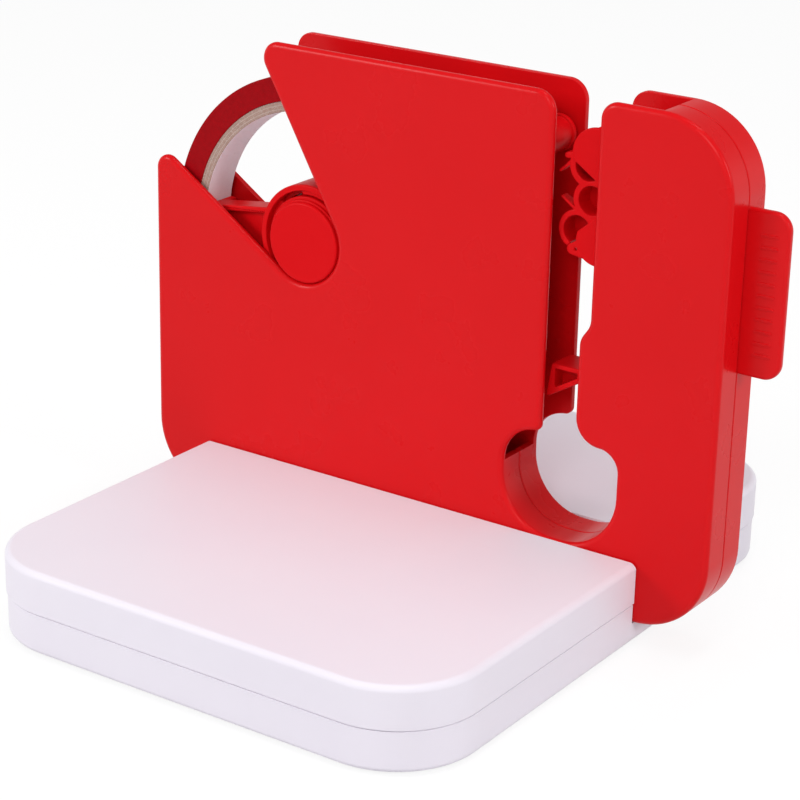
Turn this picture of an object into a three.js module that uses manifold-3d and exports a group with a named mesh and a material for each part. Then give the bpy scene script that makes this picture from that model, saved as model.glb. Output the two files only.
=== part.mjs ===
// A bag-neck tape sealer: a slim upright tape dispenser that stands in the slot of a flat base.
// Two thin half shells hold a tape roll on a lift-out axle. A bag's twisted neck is pushed down
// the slot, past the guide roller, the star wheel and the spring-loaded arm, into the round hole.
// Millimetres, +Z up. The front is -Y, the tape roll is at -X. The origin lies under the middle
// of the whole object, on the surface that the rubber feet stand on.

import * as THREE from 'three';
import Module from 'manifold-3d';
import { mergeVertices } from 'three/addons/utils/BufferGeometryUtils.js';

const wasm = await Module();
wasm.setup();

// ---------------------------------------------------------------- driving dimensions

// Fits and fineness
const runningGap = 0.3;      // between a moving piece and its neighbour
const seatGap = 0.1;         // between a piece and the face that carries it
const pinGap = 0.2;          // round a pin or a screw, on the radius
const arcSteps = 5;          // half the straight pieces in each rounded corner
const roundSides = 14;       // sides of a small round piece
const screwSides = 8;        // sides of a screw, its holes and its bosses
const drumSides = 32;        // sides of the axle and the spool's hub
const rollSides = 48;        // sides of the tape roll and its core
const overrun = 1;           // how far a cutting shape runs past the face that it cuts
const quarterTurn = 90;      // degrees

// Base stand
const baseWidth = 151.8;
const baseDepth = 196.6;
const baseHeight = 24.5;
const baseCorner = 25;
const baseWall = 2.2;
const baseSeamHeight = 12;
const traySetIn = 0.3;       // the tray is this much smaller than the covers all round
const channelFloor = 6;      // height of the floor that the dispenser stands on
const bodyFromFront = 105.2; // from the base's front edge to the dispenser's front face
const bodyOverhang = 19.1;   // the dispenser sticks out this far past the base's left side
const footRadius = 6.5;
const footThickness = 2;
const footProud = 1;
const footInset = 17;
const baseScrewInset = 32;   // from the base's outer sides
const slotScrewInset = 14;   // from the channel that the dispenser stands in
const baseScrewBoss = 5;
const trayBossTop = 5;
const baseScrewStop = 4;     // the screws end this far below the covers' ceiling

// Dispenser body
const bodyTop = 152;         // above the underside of the base
const bodyCorner = 22;
const plate = 2;             // thickness of the two side plates
const wall = 2;              // thickness of the rim walls between them
const seam = 0.3;            // between the two half shells
const leftWallTop = 60;
const holeWallTop = 45;
const tipRadius = 4.9;
const lowerTipRadius = 4.2;

// Slot for the bag neck
const slotLeft = 137.6;
const slotWidth = 14.7;
const neckWidth = 11.6;      // the slot narrows to this beside the arm
const neckTop = 84.9;
const neckRise = 4.4;        // the slot widens over this height
const neckBlend = 5.8;
const slotTopRadius = 6;
const blockTopRadius = 5;

// Round hole at the slot's lower end
const holeLeft = 125.6;
const holeWidth = 37.9;
const holeBottom = 24.3;
const holeTop = 54.7;
const holeLowerRadius = 17;
const holeUpperLeftRadius = 10;
const holeUpperRightRadius = 6.3;
const lipLeftRadius = 4;
const lipRightRadius = 7.9;

// Notch for lifting the roll out
const seatX = 54.7;
const seatZ = 94.75;
const seatRadius = 12.9;
const notchLowerAngle = 146.3; // direction of the notch's lower edge, out of the seat, in degrees
const notchUpperAngle = 120;

// Axle, spool and tape
const axleEndRadius = 12.1;
const axleRadius = 13.4;
const axleWall = 2.4;
const axleWeb = 3;
const hubRadius = 16.9;
const spokeCount = 2;
const spokeAngle = 187.5;    // direction of the first spoke, in degrees
const spokeHalf = 9.2;       // half the distance across a spoke's two flanges
const spokeFlange = 1.7;
const spokeWeb = 1.6;
const spokeWidth = 7;        // of the flanges, along the axle
const spokeSetback = 0.4;    // of the flanges behind the tape's front face
const padHalfAngle = 14;
const padThickness = 2;
const coreInner = 38.2;
const coreOuter = 41.2;
const rollRadius = 48.6;
const tapeWidth = 12;
const tapeFrontGap = 0.8;    // between the tape and the front plate
const tapeRearGap = 2.2;

// Guide roller
const rollerBehindSlot = 6.6; // its axis lies this far left of the slot's left edge
const rollerBelowTop = 14.9;
const rollerRadius = 5.4;
const pinRadius = 1.5;
const pinDepth = 0.8;        // how far a pin reaches into a side plate
const bossRise = 1;          // height of the spacer bosses on the plates
const bossRadius = 3;

// Star wheel: two plain petals and two tailed ones. Every other valley has three thin cups, a
// knob, two fins and a tail; the valleys between them have two cups.
// Reaches are distances from the wheel's axis; angles are in degrees from a plain petal.
const starBehindSlot = 10.1; // its axis lies this far right of the slot's right edge
const starTopGap = 0.95;     // between the wheel and the level of the body's top
const starWallGap = 1.3;     // between the wheel and the body's right-hand wall
const starAngle = 138;       // direction of the first plain petal
const starHubRadius = 5;
const webThickness = 1.4;
const webRadius = 15;
const plainReach = 17.4;
const tailedReach = 16.7;
const petalRadius = 7.2;
const plainHalfWidth = 5.7;  // of the plain petal's straight sides
const neckHalfWidth = 4;     // of the bar that holds the tailed petal
const petalThickness = 1.5;
const petalOverlap = 1;      // each petal's bar runs this far past the axis
const cupWall = 1.7;
const innerCup = { reach: 17.1, angle: 14, radius: 5.9 };
const middleCup = { reach: 13.7, angle: 47, radius: 5.8 };
const outerCup = { reach: 20.5, angle: 71.6, radius: 5.7 };
const knobStandoff = 0.5;    // a knob's centre lies this far outside its cup
const knob = { cup: innerCup, direction: 21, radius: 1.2 };
const tail = { cup: outerCup, direction: 120, radius: 1.5 };
const innerThorn = { cup: innerCup, direction: 30.5, heading: 83, length: 4.9 };
const outerThorn = { cup: middleCup, direction: 80, heading: 13, length: 5.7 };
const thornThickness = 0.8;
const cupSides = 12;

// Arm and its spring
const armPivotBehindSlot = 15.7;
const armPivotDrop = 2.2;    // below the arm's top
const armHubRadius = 4.5;
const armTopZ = 74.6;
const armGap = 0.5;          // between the arm's nose and the slot's left edge
const armBeam = 3;
const armNoseDrop = 10.4;    // height of the nose's left end
const armNoseHook = 1.7;     // the nose's tip reaches this far behind the slot's left edge
const armNoseLength = 10.8;
const armNoseRadius = 0.7;
const armRib = 1.2;
const armLowerRib = 1.7;
const armFront = 4.5;
const armWeb = 1;            // closes the nose's hollow half way through its width
const springBehindSlot = 5.7;
const springRadius = 2.6;
const springWire = 0.35;
const springTurns = 5;
const springSteps = 10;      // straight pieces in each turn
const springShelf = 2;
const springShelfMargin = 2; // the shelf is this much wider than the spring at each side
const springShelfRise = 3.8; // the shelf's top above the top of the round hole

// Cutter
const holderLength = 9;
const holderHeight = 11;
const bladeThickness = 0.6;
const bladeHeightAboveArm = 7.3;
const bladeLength = 8;
const bladeToothCount = 8;
const bladeToothDepth = 0.9;
const bladeRecess = 0.5;     // the teeth stay this far behind the neck's edge

// Finger tab on the rear shell
const tabBottom = 82;
const tabHeight = 46.1;
const tabReach = 12.2;
const tabThickness = 2.5;
const tabRadius = 5;

// Screws
const screwRadius = 1.5;
const screwHeadRadius = 2.8;
const screwHeadHeight = 1.4;
const screwHeadDepth = 0.3;  // the head's face lies this far below the outer face
const screwBossRadius = 4;
const shellScrewStart = 4;   // the tip's depth below the front face
const lowScrewZ = 24;
const lowScrewInset = 16;
const holeScrewInset = 21.6; // from the round hole's left side
const neckScrewZ = 76;
const neckScrewInset = 17.6; // from the slot's left edge
const slotScrewZ = 116;
const slotSideScrewInset = 13.6;
const topScrewDrop = 10;
const topScrewInset = 33.6;
const blockScrewZ = 84;
const blockScrewInset = 11.2;

// ---------------------------------------------------------------- derived places

const slotRight = slotLeft + slotWidth;
const neckRight = slotLeft + neckWidth;
const holeRight = holeLeft + holeWidth;
const baseLeft = bodyOverhang;
const baseRight = baseLeft + baseWidth;
const baseFront = -bodyFromFront;
const baseBack = baseFront + baseDepth;
const bodyThickness = plate + tapeFrontGap + tapeWidth + tapeRearGap + plate;
const channelFront = -runningGap;
const channelBack = bodyThickness + runningGap;
const bodyBottom = channelFloor + seatGap;
const frontInside = plate;
const rearInside = bodyThickness - plate;
const midY = bodyThickness / 2;
const frontSeamY = midY - seam / 2;
const rearSeamY = midY + seam / 2;
const rollerX = slotLeft - rollerBehindSlot;
const rollerZ = bodyTop - rollerBelowTop;
const starX = slotRight + starBehindSlot;
const starRadius = Math.hypot(...knobPlace(tail)) + tail.radius;
const starZ = bodyTop - starTopGap - starRadius;
const bodyRight = starX + starRadius + starWallGap + wall;
const tabRight = bodyRight + tabReach;
const notchDirection = THREE.MathUtils.degToRad((notchLowerAngle + notchUpperAngle) / 2);
const axleDrop = seatRadius - axleEndRadius - runningGap;
const axleX = seatX - axleDrop * Math.cos(notchDirection);
const axleZ = seatZ - axleDrop * Math.sin(notchDirection);
const tapeFront = frontInside + tapeFrontGap;
const tapeBack = tapeFront + tapeWidth;
const turningFront = frontInside + bossRise + runningGap;
const turningBack = rearInside - bossRise - runningGap;
const armPivotX = slotRight + armPivotBehindSlot;
const armPivotZ = armTopZ - armPivotDrop;
const armLeft = slotLeft + armGap;
const armBack = bodyThickness - armFront;
const springX = slotRight + springBehindSlot;
const springShelfTop = holeTop + springShelfRise;
const shellScrews = [
  [lowScrewInset, lowScrewZ],
  [holeLeft - holeScrewInset, lowScrewZ],
  [slotLeft - neckScrewInset, neckScrewZ],
  [slotLeft - slotSideScrewInset, slotScrewZ],
  [slotLeft - topScrewInset, bodyTop - topScrewDrop],
  [bodyRight - lowScrewInset, lowScrewZ],
  [bodyRight - blockScrewInset, blockScrewZ],
];

// ---------------------------------------------------------------- materials

const finish = (color, roughness, metalness = 0) =>
  new THREE.MeshStandardMaterial({ color, roughness, metalness });
const redPlastic = finish(0xd8161f, 0.32);
const whitePlastic = finish(0xf1eef4, 0.35);
const darkRedTape = finish(0x9c1420, 0.3);
const cardboard = finish(0xb9a68c, 0.85);
const steel = finish(0xb8bcc2, 0.3, 1);
const blackRubber = finish(0x2c2c2e, 0.9);

// ---------------------------------------------------------------- building blocks

const corner = (x, y, r = 0) => ({ x, y, r });

const neighbours = (corners, i) => [
  corners[(i + corners.length - 1) % corners.length], corners[i], corners[(i + 1) % corners.length],
];

// Half the angle between the two edges that meet at a corner.
function halfAngle([before, at, after]) {
  const toBefore = new THREE.Vector2(before.x - at.x, before.y - at.y);
  const toAfter = new THREE.Vector2(after.x - at.x, after.y - at.y);
  return toBefore.angleTo(toAfter) / 2;
}

// The corners with each radius held to what its two edges have room for.
function fitted(corners) {
  const reach = corners.map((at, i) => at.r / Math.tan(halfAngle(neighbours(corners, i))));
  const room = corners.map((at, i) => {
    const next = (i + 1) % corners.length;
    const length = Math.hypot(corners[next].x - at.x, corners[next].y - at.y);
    return Math.min(1, length / (reach[i] + reach[next]));
  });
  const last = corners.length - 1;
  return corners.map((at, i) => corner(at.x, at.y, at.r * Math.min(room[i], room[i ? i - 1 : last])));
}

// The fillet arc at one corner of an outline.
function filletArc([before, at, after]) {
  const toBefore = new THREE.Vector2(before.x - at.x, before.y - at.y).normalize();
  const toAfter = new THREE.Vector2(after.x - at.x, after.y - at.y).normalize();
  const half = Math.acos(toBefore.dot(toAfter)) / 2;
  const middle = toBefore.clone().add(toAfter).normalize();
  const centre = middle.multiplyScalar(at.r / Math.sin(half)).add(new THREE.Vector2(at.x, at.y));
  const reach = at.r / Math.tan(half);
  const start = toBefore.clone().multiplyScalar(reach).add(new THREE.Vector2(at.x, at.y));
  const end = toAfter.clone().multiplyScalar(reach).add(new THREE.Vector2(at.x, at.y));
  return {
    centre,
    from: Math.atan2(start.y - centre.y, start.x - centre.x),
    to: Math.atan2(end.y - centre.y, end.x - centre.x),
    clockwise: toBefore.cross(toAfter) > 0,
  };
}

// A closed outline through the corners, each rounded by its own radius. It starts with a
// rounded corner where there is one, because an arc joins only onto a curve before it.
function outline(corners) {
  const shape = new THREE.Shape();
  const first = Math.max(0, corners.findIndex((at) => at.r > 0));
  const ordered = fitted([...corners.slice(first), ...corners.slice(0, first)]);
  ordered.forEach((at, i) => {
    if (at.r > 0) {
      const arc = filletArc(neighbours(ordered, i));
      shape.absarc(arc.centre.x, arc.centre.y, at.r, arc.from, arc.to, arc.clockwise);
    } else if (i === 0) {
      shape.moveTo(at.x, at.y);
    } else {
      shape.lineTo(at.x, at.y);
    }
  });
  shape.closePath();
  return shape;
}

// The same corners moved inwards by a wall's thickness; they run clockwise.
function insetCorners(corners, distance) {
  return corners.map((at, i) => {
    const [before, , after] = neighbours(corners, i);
    const into = new THREE.Vector2(at.x - before.x, at.y - before.y).normalize();
    const out = new THREE.Vector2(after.x - at.x, after.y - at.y).normalize();
    const turn = into.cross(out);
    const shift = distance / (1 + into.dot(out));
    const x = at.x + (into.y + out.y) * shift;
    const y = at.y - (into.x + out.x) * shift;
    return corner(x, y, Math.max(0, at.r + (turn < 0 ? -distance : distance)));
  });
}

// A closed geometry as a manifold solid with its faces pointing out.
function solid(geometry) {
  geometry.deleteAttribute('normal');
  geometry.deleteAttribute('uv');
  const welded = mergeVertices(geometry, 1e-4);
  const points = welded.attributes.position.array;
  const faces = [];
  let volume = 0;
  for (let i = 0; i < welded.index.count; i += 3) {
    const [a, b, c] = [0, 1, 2].map((k) => welded.index.getX(i + k));
    if (a === b || b === c || c === a) continue;
    faces.push([a, b, c]);
    const [p, q, r] = [a, b, c].map((k) => new THREE.Vector3().fromArray(points, 3 * k));
    volume += p.dot(q.cross(r));
  }
  const outward = volume > 0 ? faces : faces.map(([a, b, c]) => [a, c, b]);
  const triVerts = new Uint32Array(outward.flat());
  return new wasm.Manifold(new wasm.Mesh({ numProp: 3, vertProperties: points, triVerts }));
}

const extruded = (shape, depth) =>
  new THREE.ExtrudeGeometry(shape, { depth, bevelEnabled: false, curveSegments: arcSteps });

// An outline in X and Z, extruded from y0 to y1.
const slab = (shape, y0, y1) =>
  solid(extruded(shape, y1 - y0).rotateX(Math.PI / 2).translate(0, y1, 0));

// An outline in X and Y, extruded from z0 to z1.
const block = (shape, z0, z1) => solid(extruded(shape, z1 - z0).translate(0, 0, z0));

const box = (x0, y0, z0, x1, y1, z1) => solid(
  new THREE.BoxGeometry(x1 - x0, y1 - y0, z1 - z0)
    .translate((x0 + x1) / 2, (y0 + y1) / 2, (z0 + z1) / 2),
);

// A cylinder along Y at (x, z), and one along Z at (x, y).
const rod = (x, z, r, y0, y1, sides = roundSides) => solid(
  new THREE.CylinderGeometry(r, r, y1 - y0, sides).translate(x, (y0 + y1) / 2, z),
);
const post = (x, y, r, z0, z1, sides = roundSides) => solid(
  new THREE.CylinderGeometry(r, r, z1 - z0, sides).rotateX(Math.PI / 2).translate(x, y, (z0 + z1) / 2),
);

// A turned piece round the Y axis through (x, z), from [radius, y] pairs.
const turned = (profile, x, z, sides = roundSides) => solid(
  new THREE.LatheGeometry(profile.map(([r, y]) => new THREE.Vector2(r, y)), sides).translate(x, 0, z),
);

const ringProfile = (inner, outer, y0, y1) =>
  [[inner, y0], [outer, y0], [outer, y1], [inner, y1], [inner, y0]];

const joined = (solids) => solids.reduce((sum, next) => sum.add(next));

function node(name, shape, material) {
  const mesh = shape.getMesh();
  const geometry = new THREE.BufferGeometry();
  geometry.setAttribute('position', new THREE.BufferAttribute(mesh.vertProperties, 3));
  geometry.setIndex(new THREE.BufferAttribute(mesh.triVerts, 1));
  geometry.computeVertexNormals();
  const piece = new THREE.Mesh(geometry, material);
  piece.name = name;
  return piece;
}

// ---------------------------------------------------------------- base stand

const baseCornersXY = (inset, y0, y1, r0, r1) => outline([
  corner(baseLeft + inset, y0, r0),
  corner(baseLeft + inset, y1, r1),
  corner(baseRight - inset, y1, r1),
  corner(baseRight - inset, y0, r0),
]);

// The screws of one cover: one near each corner of it.
const screwSpots = (y0, y1) => [baseLeft + baseScrewInset, baseRight - baseScrewInset]
  .flatMap((x) => [[x, y0], [x, y1]]);
const frontScrews = screwSpots(baseFront + baseScrewInset, channelFront - slotScrewInset);
const rearScrews = screwSpots(channelBack + slotScrewInset, baseBack - baseScrewInset);
const trayHeadSeat = screwHeadHeight + screwHeadDepth + seatGap;
const coverCeiling = baseHeight - baseWall;
const baseScrewTip = coverCeiling - baseScrewStop;

// A hollow cover with screw posts inside; the slot side is a plain straight wall.
function cover(y0, y1, r0, r1, spots) {
  const under = baseSeamHeight + seam / 2;
  const shell = block(baseCornersXY(0, y0, y1, r0, r1), under, baseHeight);
  const shrink = (r) => (r > baseWall ? r - baseWall : 0);
  const hollow = block(
    baseCornersXY(baseWall, y0 + baseWall, y1 - baseWall, shrink(r0), shrink(r1)),
    under - overrun,
    coverCeiling,
  );
  const posts = spots.map(([x, y]) =>
    post(x, y, screwBossRadius, trayBossTop + runningGap, coverCeiling + baseWall / 2, screwSides));
  const bores = spots.map(([x, y]) =>
    post(x, y, screwRadius + pinGap, trayBossTop, baseScrewTip + runningGap, screwSides));
  return joined([shell.subtract(hollow), ...posts]).subtract(joined(bores));
}

const feetSpots = [baseLeft + footInset, baseRight - footInset]
  .flatMap((x) => [[x, baseFront + footInset], [x, baseBack - footInset]]);

// The lower half of the base, with the channel floor between the two covers.
function tray() {
  const top = baseSeamHeight - seam / 2;
  const floor = baseWall;
  const [y0, y1] = [baseFront + traySetIn, baseBack - traySetIn];
  const outer = block(baseCornersXY(traySetIn, y0, y1, baseCorner, baseCorner), 0, top);
  const wellInset = traySetIn + baseWall;
  const wellCorner = baseCorner - baseWall;
  const frontWell = block(
    baseCornersXY(wellInset, y0 + baseWall, channelFront - baseWall, wellCorner, 0),
    floor, top + overrun,
  );
  const rearWell = block(
    baseCornersXY(wellInset, channelBack + baseWall, y1 - baseWall, 0, wellCorner),
    floor, top + overrun,
  );
  const channel = box(
    baseLeft - overrun, channelFront, channelFloor, baseRight + overrun, channelBack, top + overrun,
  );
  const underChannel = box(
    baseLeft + wellInset, channelFront + baseWall, -overrun,
    baseRight - wellInset, channelBack - baseWall, channelFloor - baseWall,
  );
  const spots = [...frontScrews, ...rearScrews];
  const bosses = spots.map(([x, y]) =>
    post(x, y, baseScrewBoss, floor / 2, trayBossTop, screwSides));
  const headWells = spots.map(([x, y]) =>
    post(x, y, screwHeadRadius + runningGap, -overrun, trayHeadSeat, screwSides));
  const shankHoles = spots.map(([x, y]) =>
    post(x, y, screwRadius + pinGap, 0, trayBossTop + overrun, screwSides));
  const footWells = feetSpots.map(([x, y]) =>
    post(x, y, footRadius + runningGap, -overrun, footThickness - footProud + seatGap));
  return joined([outer.subtract(joined([frontWell, rearWell, channel, underChannel])), ...bosses])
    .subtract(joined([...headWells, ...shankHoles, ...footWells]));
}

// A pan-head screw standing head down at (x, y).
function baseScrew(x, y) {
  const headTop = screwHeadDepth + screwHeadHeight;
  const head = post(x, y, screwHeadRadius, screwHeadDepth, headTop, screwSides);
  const shank = post(x, y, screwRadius, headTop - screwHeadHeight / 2, baseScrewTip, screwSides);
  return head.add(shank);
}

const foot = (x, y) => post(x, y, footRadius, -footProud, footThickness - footProud);

// ---------------------------------------------------------------- dispenser shells

// Where the notch's two edges would meet, beyond the seat.
function notchApex() {
  const half = THREE.MathUtils.degToRad((notchLowerAngle - notchUpperAngle) / 2);
  const reach = seatRadius / Math.sin(half);
  return [seatX - reach * Math.cos(notchDirection), seatZ - reach * Math.sin(notchDirection)];
}

// The corners of both side plates, clockwise from the lower left one.
function bodyCorners() {
  const [apexX, apexZ] = notchApex();
  const lowerSlope = Math.tan(THREE.MathUtils.degToRad(notchLowerAngle));
  const upperSlope = Math.tan(THREE.MathUtils.degToRad(notchUpperAngle));
  return [
    corner(0, bodyBottom, bodyCorner),
    corner(0, apexZ - apexX * lowerSlope, lowerTipRadius),
    corner(apexX, apexZ, seatRadius),
    corner(apexX + (bodyTop - apexZ) / upperSlope, bodyTop, tipRadius),
    corner(slotLeft, bodyTop, slotTopRadius),
    corner(slotLeft, holeTop, lipLeftRadius),
    corner(holeLeft, holeTop, holeUpperLeftRadius),
    corner(holeLeft, holeBottom, holeLowerRadius),
    corner(holeRight, holeBottom, holeLowerRadius),
    corner(holeRight, holeTop, holeUpperRightRadius),
    corner(neckRight, holeTop, lipRightRadius),
    corner(neckRight, neckTop, neckBlend),
    corner(slotRight, neckTop + neckRise, neckBlend),
    corner(slotRight, bodyTop, blockTopRadius),
    corner(bodyRight, bodyTop, bodyCorner),
    corner(bodyRight, bodyBottom, bodyCorner),
  ];
}

// The rim walls from y0 to y1: left of the roll up to leftWallTop, along the bottom, round the
// lower part of the hole, and round the right-hand block as far as the star wheel lets them.
// Everywhere else the body is open.
function rimWalls(y0, y1) {
  const corners = bodyCorners();
  const ring = slab(outline(corners), y0, y1).subtract(
    slab(outline(insetCorners(corners, wall)), y0 - overrun, y1 + overrun));
  const openEnd = starX + Math.sqrt((starRadius + runningGap) ** 2 - (bodyTop - wall - starZ) ** 2);
  const [front, back] = [y0 - overrun, y1 + overrun];
  const aboveLeftWall = box(-overrun, front, leftWallTop, openEnd, back, bodyTop + overrun);
  const aboveHoleWall = box(wall, front, holeWallTop, openEnd, back, leftWallTop + overrun);
  return ring.subtract(aboveLeftWall.add(aboveHoleWall));
}

const pinSpots = [[rollerX, rollerZ], [starX, starZ], [armPivotX, armPivotZ]];

// The shelf that the arm's spring stands on, from y0 to y1.
const shelfHalf = springRadius + springShelfMargin;
const shelf = (y0, y1) => box(
  springX - shelfHalf, y0, springShelfTop - springShelf, springX + shelfHalf, y1, springShelfTop,
);

function frontShell() {
  const face = slab(outline(bodyCorners()), 0, plate);
  const bosses = shellScrews.map(([x, z]) =>
    rod(x, z, screwBossRadius, plate / 2, frontSeamY, screwSides));
  const bores = shellScrews.map(([x, z]) =>
    rod(x, z, screwRadius + pinGap, shellScrewStart - runningGap, midY, screwSides));
  const spacers = pinSpots.map(([x, z]) => rod(x, z, bossRadius, plate / 2, plate + bossRise));
  const sockets = pinSpots.map(([x, z]) =>
    rod(x, z, pinRadius + pinGap, plate - pinDepth - seatGap, midY));
  const walls = rimWalls(plate / 2, frontSeamY);
  return joined([face, walls, ...bosses, ...spacers, shelf(plate / 2, frontSeamY)])
    .subtract(joined([...bores, ...sockets]));
}

function fingerTab() {
  const root = bodyRight - wall / 2;
  const shape = outline([
    corner(root, tabBottom),
    corner(root, tabBottom + tabHeight),
    corner(tabRight, tabBottom + tabHeight, tabRadius),
    corner(tabRight, tabBottom, tabRadius),
  ]);
  return slab(shape, rearSeamY, rearSeamY + tabThickness);
}

function rearShell() {
  const back = bodyThickness;
  const face = slab(outline(bodyCorners()), back - plate, back);
  const headSeat = back - screwHeadDepth - screwHeadHeight - seatGap;
  const bosses = shellScrews.map(([x, z]) =>
    rod(x, z, screwBossRadius, rearSeamY, back - plate / 2, screwSides));
  const bores = shellScrews.map(([x, z]) =>
    rod(x, z, screwRadius + pinGap, midY, back, screwSides));
  const headWells = shellScrews.map(([x, z]) =>
    rod(x, z, screwHeadRadius + runningGap, headSeat, back + overrun, screwSides));
  const spacers = pinSpots.map(([x, z]) =>
    rod(x, z, bossRadius, back - plate - bossRise, back - plate / 2));
  const sockets = pinSpots.map(([x, z]) =>
    rod(x, z, pinRadius + pinGap, midY, back - plate + pinDepth + seatGap));
  const walls = rimWalls(rearSeamY, back - plate / 2);
  return joined([face, walls, ...bosses, ...spacers, shelf(rearSeamY, back - plate / 2), fingerTab()])
    .subtract(joined([...bores, ...headWells, ...sockets]));
}

// A pan-head screw along Y at (x, z), driven in from the rear.
function shellScrew(x, z) {
  const headBack = bodyThickness - screwHeadDepth;
  const head = rod(x, z, screwHeadRadius, headBack - screwHeadHeight, headBack, screwSides);
  const shank = rod(x, z, screwRadius, shellScrewStart, headBack - screwHeadHeight / 2, screwSides);
  return head.add(shank);
}

const pin = (x, z) => rod(x, z, pinRadius, plate - pinDepth, bodyThickness - plate + pinDepth);

// ---------------------------------------------------------------- axle, spool and tape

// A cup-shaped axle: its ends sit in the plates' seats, its thick middle keeps it between them.
function axle() {
  const shoulder0 = frontInside + runningGap;
  const shoulder1 = rearInside - runningGap;
  const bore = axleEndRadius - axleWall;
  return turned([
    [0, 0], [axleEndRadius, 0], [axleEndRadius, shoulder0], [axleRadius, shoulder0],
    [axleRadius, shoulder1], [axleEndRadius, shoulder1], [axleEndRadius, bodyThickness],
    [bore, bodyThickness], [bore, axleWeb], [0, axleWeb],
  ], axleX, axleZ, drumSides);
}

// One spoke along +X: a web with a flange at each side, and a pad at its end.
function spoke() {
  const padReach = coreInner - runningGap;
  const padHalf = THREE.MathUtils.degToRad(padHalfAngle);
  const pad = new THREE.Shape();
  pad.absarc(0, 0, padReach, -padHalf, padHalf, false);
  pad.absarc(0, 0, padReach - padThickness, padHalf, -padHalf, true);
  pad.closePath();
  const [start, end] = [(axleRadius + hubRadius) / 2, padReach - padThickness / 2];
  const flangeStart = Math.sqrt(start ** 2 - (spokeHalf - spokeFlange) ** 2);
  const flangeEnd = Math.sqrt(end ** 2 - spokeHalf ** 2);
  const front = tapeFront + spokeSetback;
  const webFront = front + (spokeWidth - spokeWeb) / 2;
  const web = box(start, webFront, -spokeHalf, flangeEnd, webFront + spokeWeb, spokeHalf);
  const flange = box(
    flangeStart, front, spokeHalf - spokeFlange, flangeEnd, front + spokeWidth, spokeHalf);
  return joined([web, flange, flange.mirror([0, 0, 1]), slab(pad, tapeFront, tapeBack)]);
}

// The spool turns on the axle; the pads on its spokes hold the core.
function spool() {
  const profile = ringProfile(
    axleRadius + runningGap, hubRadius, frontInside + runningGap, rearInside - runningGap);
  const hub = turned(profile, 0, 0, drumSides);
  const spokes = Array.from({ length: spokeCount }, (_, i) =>
    spoke().rotate([0, -spokeAngle - (i * 360) / spokeCount, 0]));
  return joined([hub, ...spokes]).translate([axleX, 0, axleZ]);
}

const tapeCore = () =>
  turned(ringProfile(coreInner, coreOuter, tapeFront, tapeBack), axleX, axleZ, rollSides);
const tapeRoll = () =>
  turned(ringProfile(coreOuter + seatGap, rollRadius, tapeFront, tapeBack), axleX, axleZ, rollSides);

// ---------------------------------------------------------------- guide roller and star wheel

const guideRoller = () => turned(
  ringProfile(pinRadius + runningGap, rollerRadius, turningFront, turningBack), rollerX, rollerZ);

// A step of that length in a direction in degrees, as X and Z on the wheel.
function step(length, degrees) {
  const angle = THREE.MathUtils.degToRad(degrees);
  return [length * Math.cos(angle), length * Math.sin(angle)];
}

// A place near a cup: a distance from the cup's centre, in a direction in degrees.
function byCup({ reach, angle }, distance, degrees) {
  const [cupX, cupZ] = step(reach, angle);
  const [x, z] = step(distance, degrees);
  return [cupX + x, cupZ + z];
}

function knobPlace({ cup, direction }) {
  return byCup(cup, cup.radius + knobStandoff, direction);
}

function cupRing({ reach, angle, radius }, side) {
  const profile = ringProfile(radius - cupWall, radius, turningFront, turningBack);
  return turned(profile, ...step(reach, side * angle), cupSides);
}

// A small round post on a cup's rim, over the wheel's whole width.
const knobPost = (spec) => rod(...knobPlace(spec), spec.radius, turningFront, turningBack, cupSides);

// A thin fin that starts in a cup's wall.
function thorn({ cup, direction, heading, length }) {
  const [x, z] = byCup(cup, cup.radius - cupWall / 2, direction);
  return box(0, turningFront, -thornThickness / 2, length, turningBack, thornThickness / 2)
    .rotate([0, -heading, 0]).translate([x, 0, z]);
}

// A flat bar from the axis, of that half width, with a round end; it closes the cups in front.
function petal(reach, halfWidth) {
  const bar = box(
    -petalOverlap, turningFront, -halfWidth, reach, turningFront + petalThickness, halfWidth);
  const end = rod(reach, 0, petalRadius, turningFront, turningFront + petalThickness, drumSides);
  return { bar, end };
}

// The plain petal's round end is no wider than its bar.
function plainPetal() {
  const { bar, end } = petal(plainReach, plainHalfWidth);
  const trim = box(
    0, 0, -plainHalfWidth, plainReach + petalRadius, bodyThickness, plainHalfWidth);
  return bar.add(end.intersect(trim));
}

// Half the wheel: one plain petal, one tailed petal and the two valleys beside the plain one.
function wheelHalf() {
  const { bar, end } = petal(tailedReach, neckHalfWidth);
  const tailedPetal = bar.add(end).rotate([0, -quarterTurn, 0]);
  const cups = [innerCup, middleCup, outerCup].map((size) => cupRing(size, 1));
  cups.push(...[innerCup, middleCup].map((size) => cupRing(size, -1)));
  const posts = [knob, tail].map(knobPost);
  const thorns = [innerThorn, outerThorn].map(thorn);
  return joined([plainPetal(), tailedPetal, ...cups, ...posts, ...thorns]);
}

function starWheel() {
  const hub = rod(0, 0, starHubRadius, turningFront, turningBack);
  const web = rod(0, 0, webRadius, midY, midY + webThickness, drumSides);
  const half = wheelHalf();
  const bore = rod(0, 0, pinRadius + runningGap, 0, bodyThickness);
  return joined([hub, web, half, half.rotate([0, 2 * quarterTurn, 0])])
    .subtract(bore)
    .rotate([0, -starAngle, 0])
    .translate([starX, 0, starZ]);
}

// ---------------------------------------------------------------- arm, spring and cutter

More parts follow.
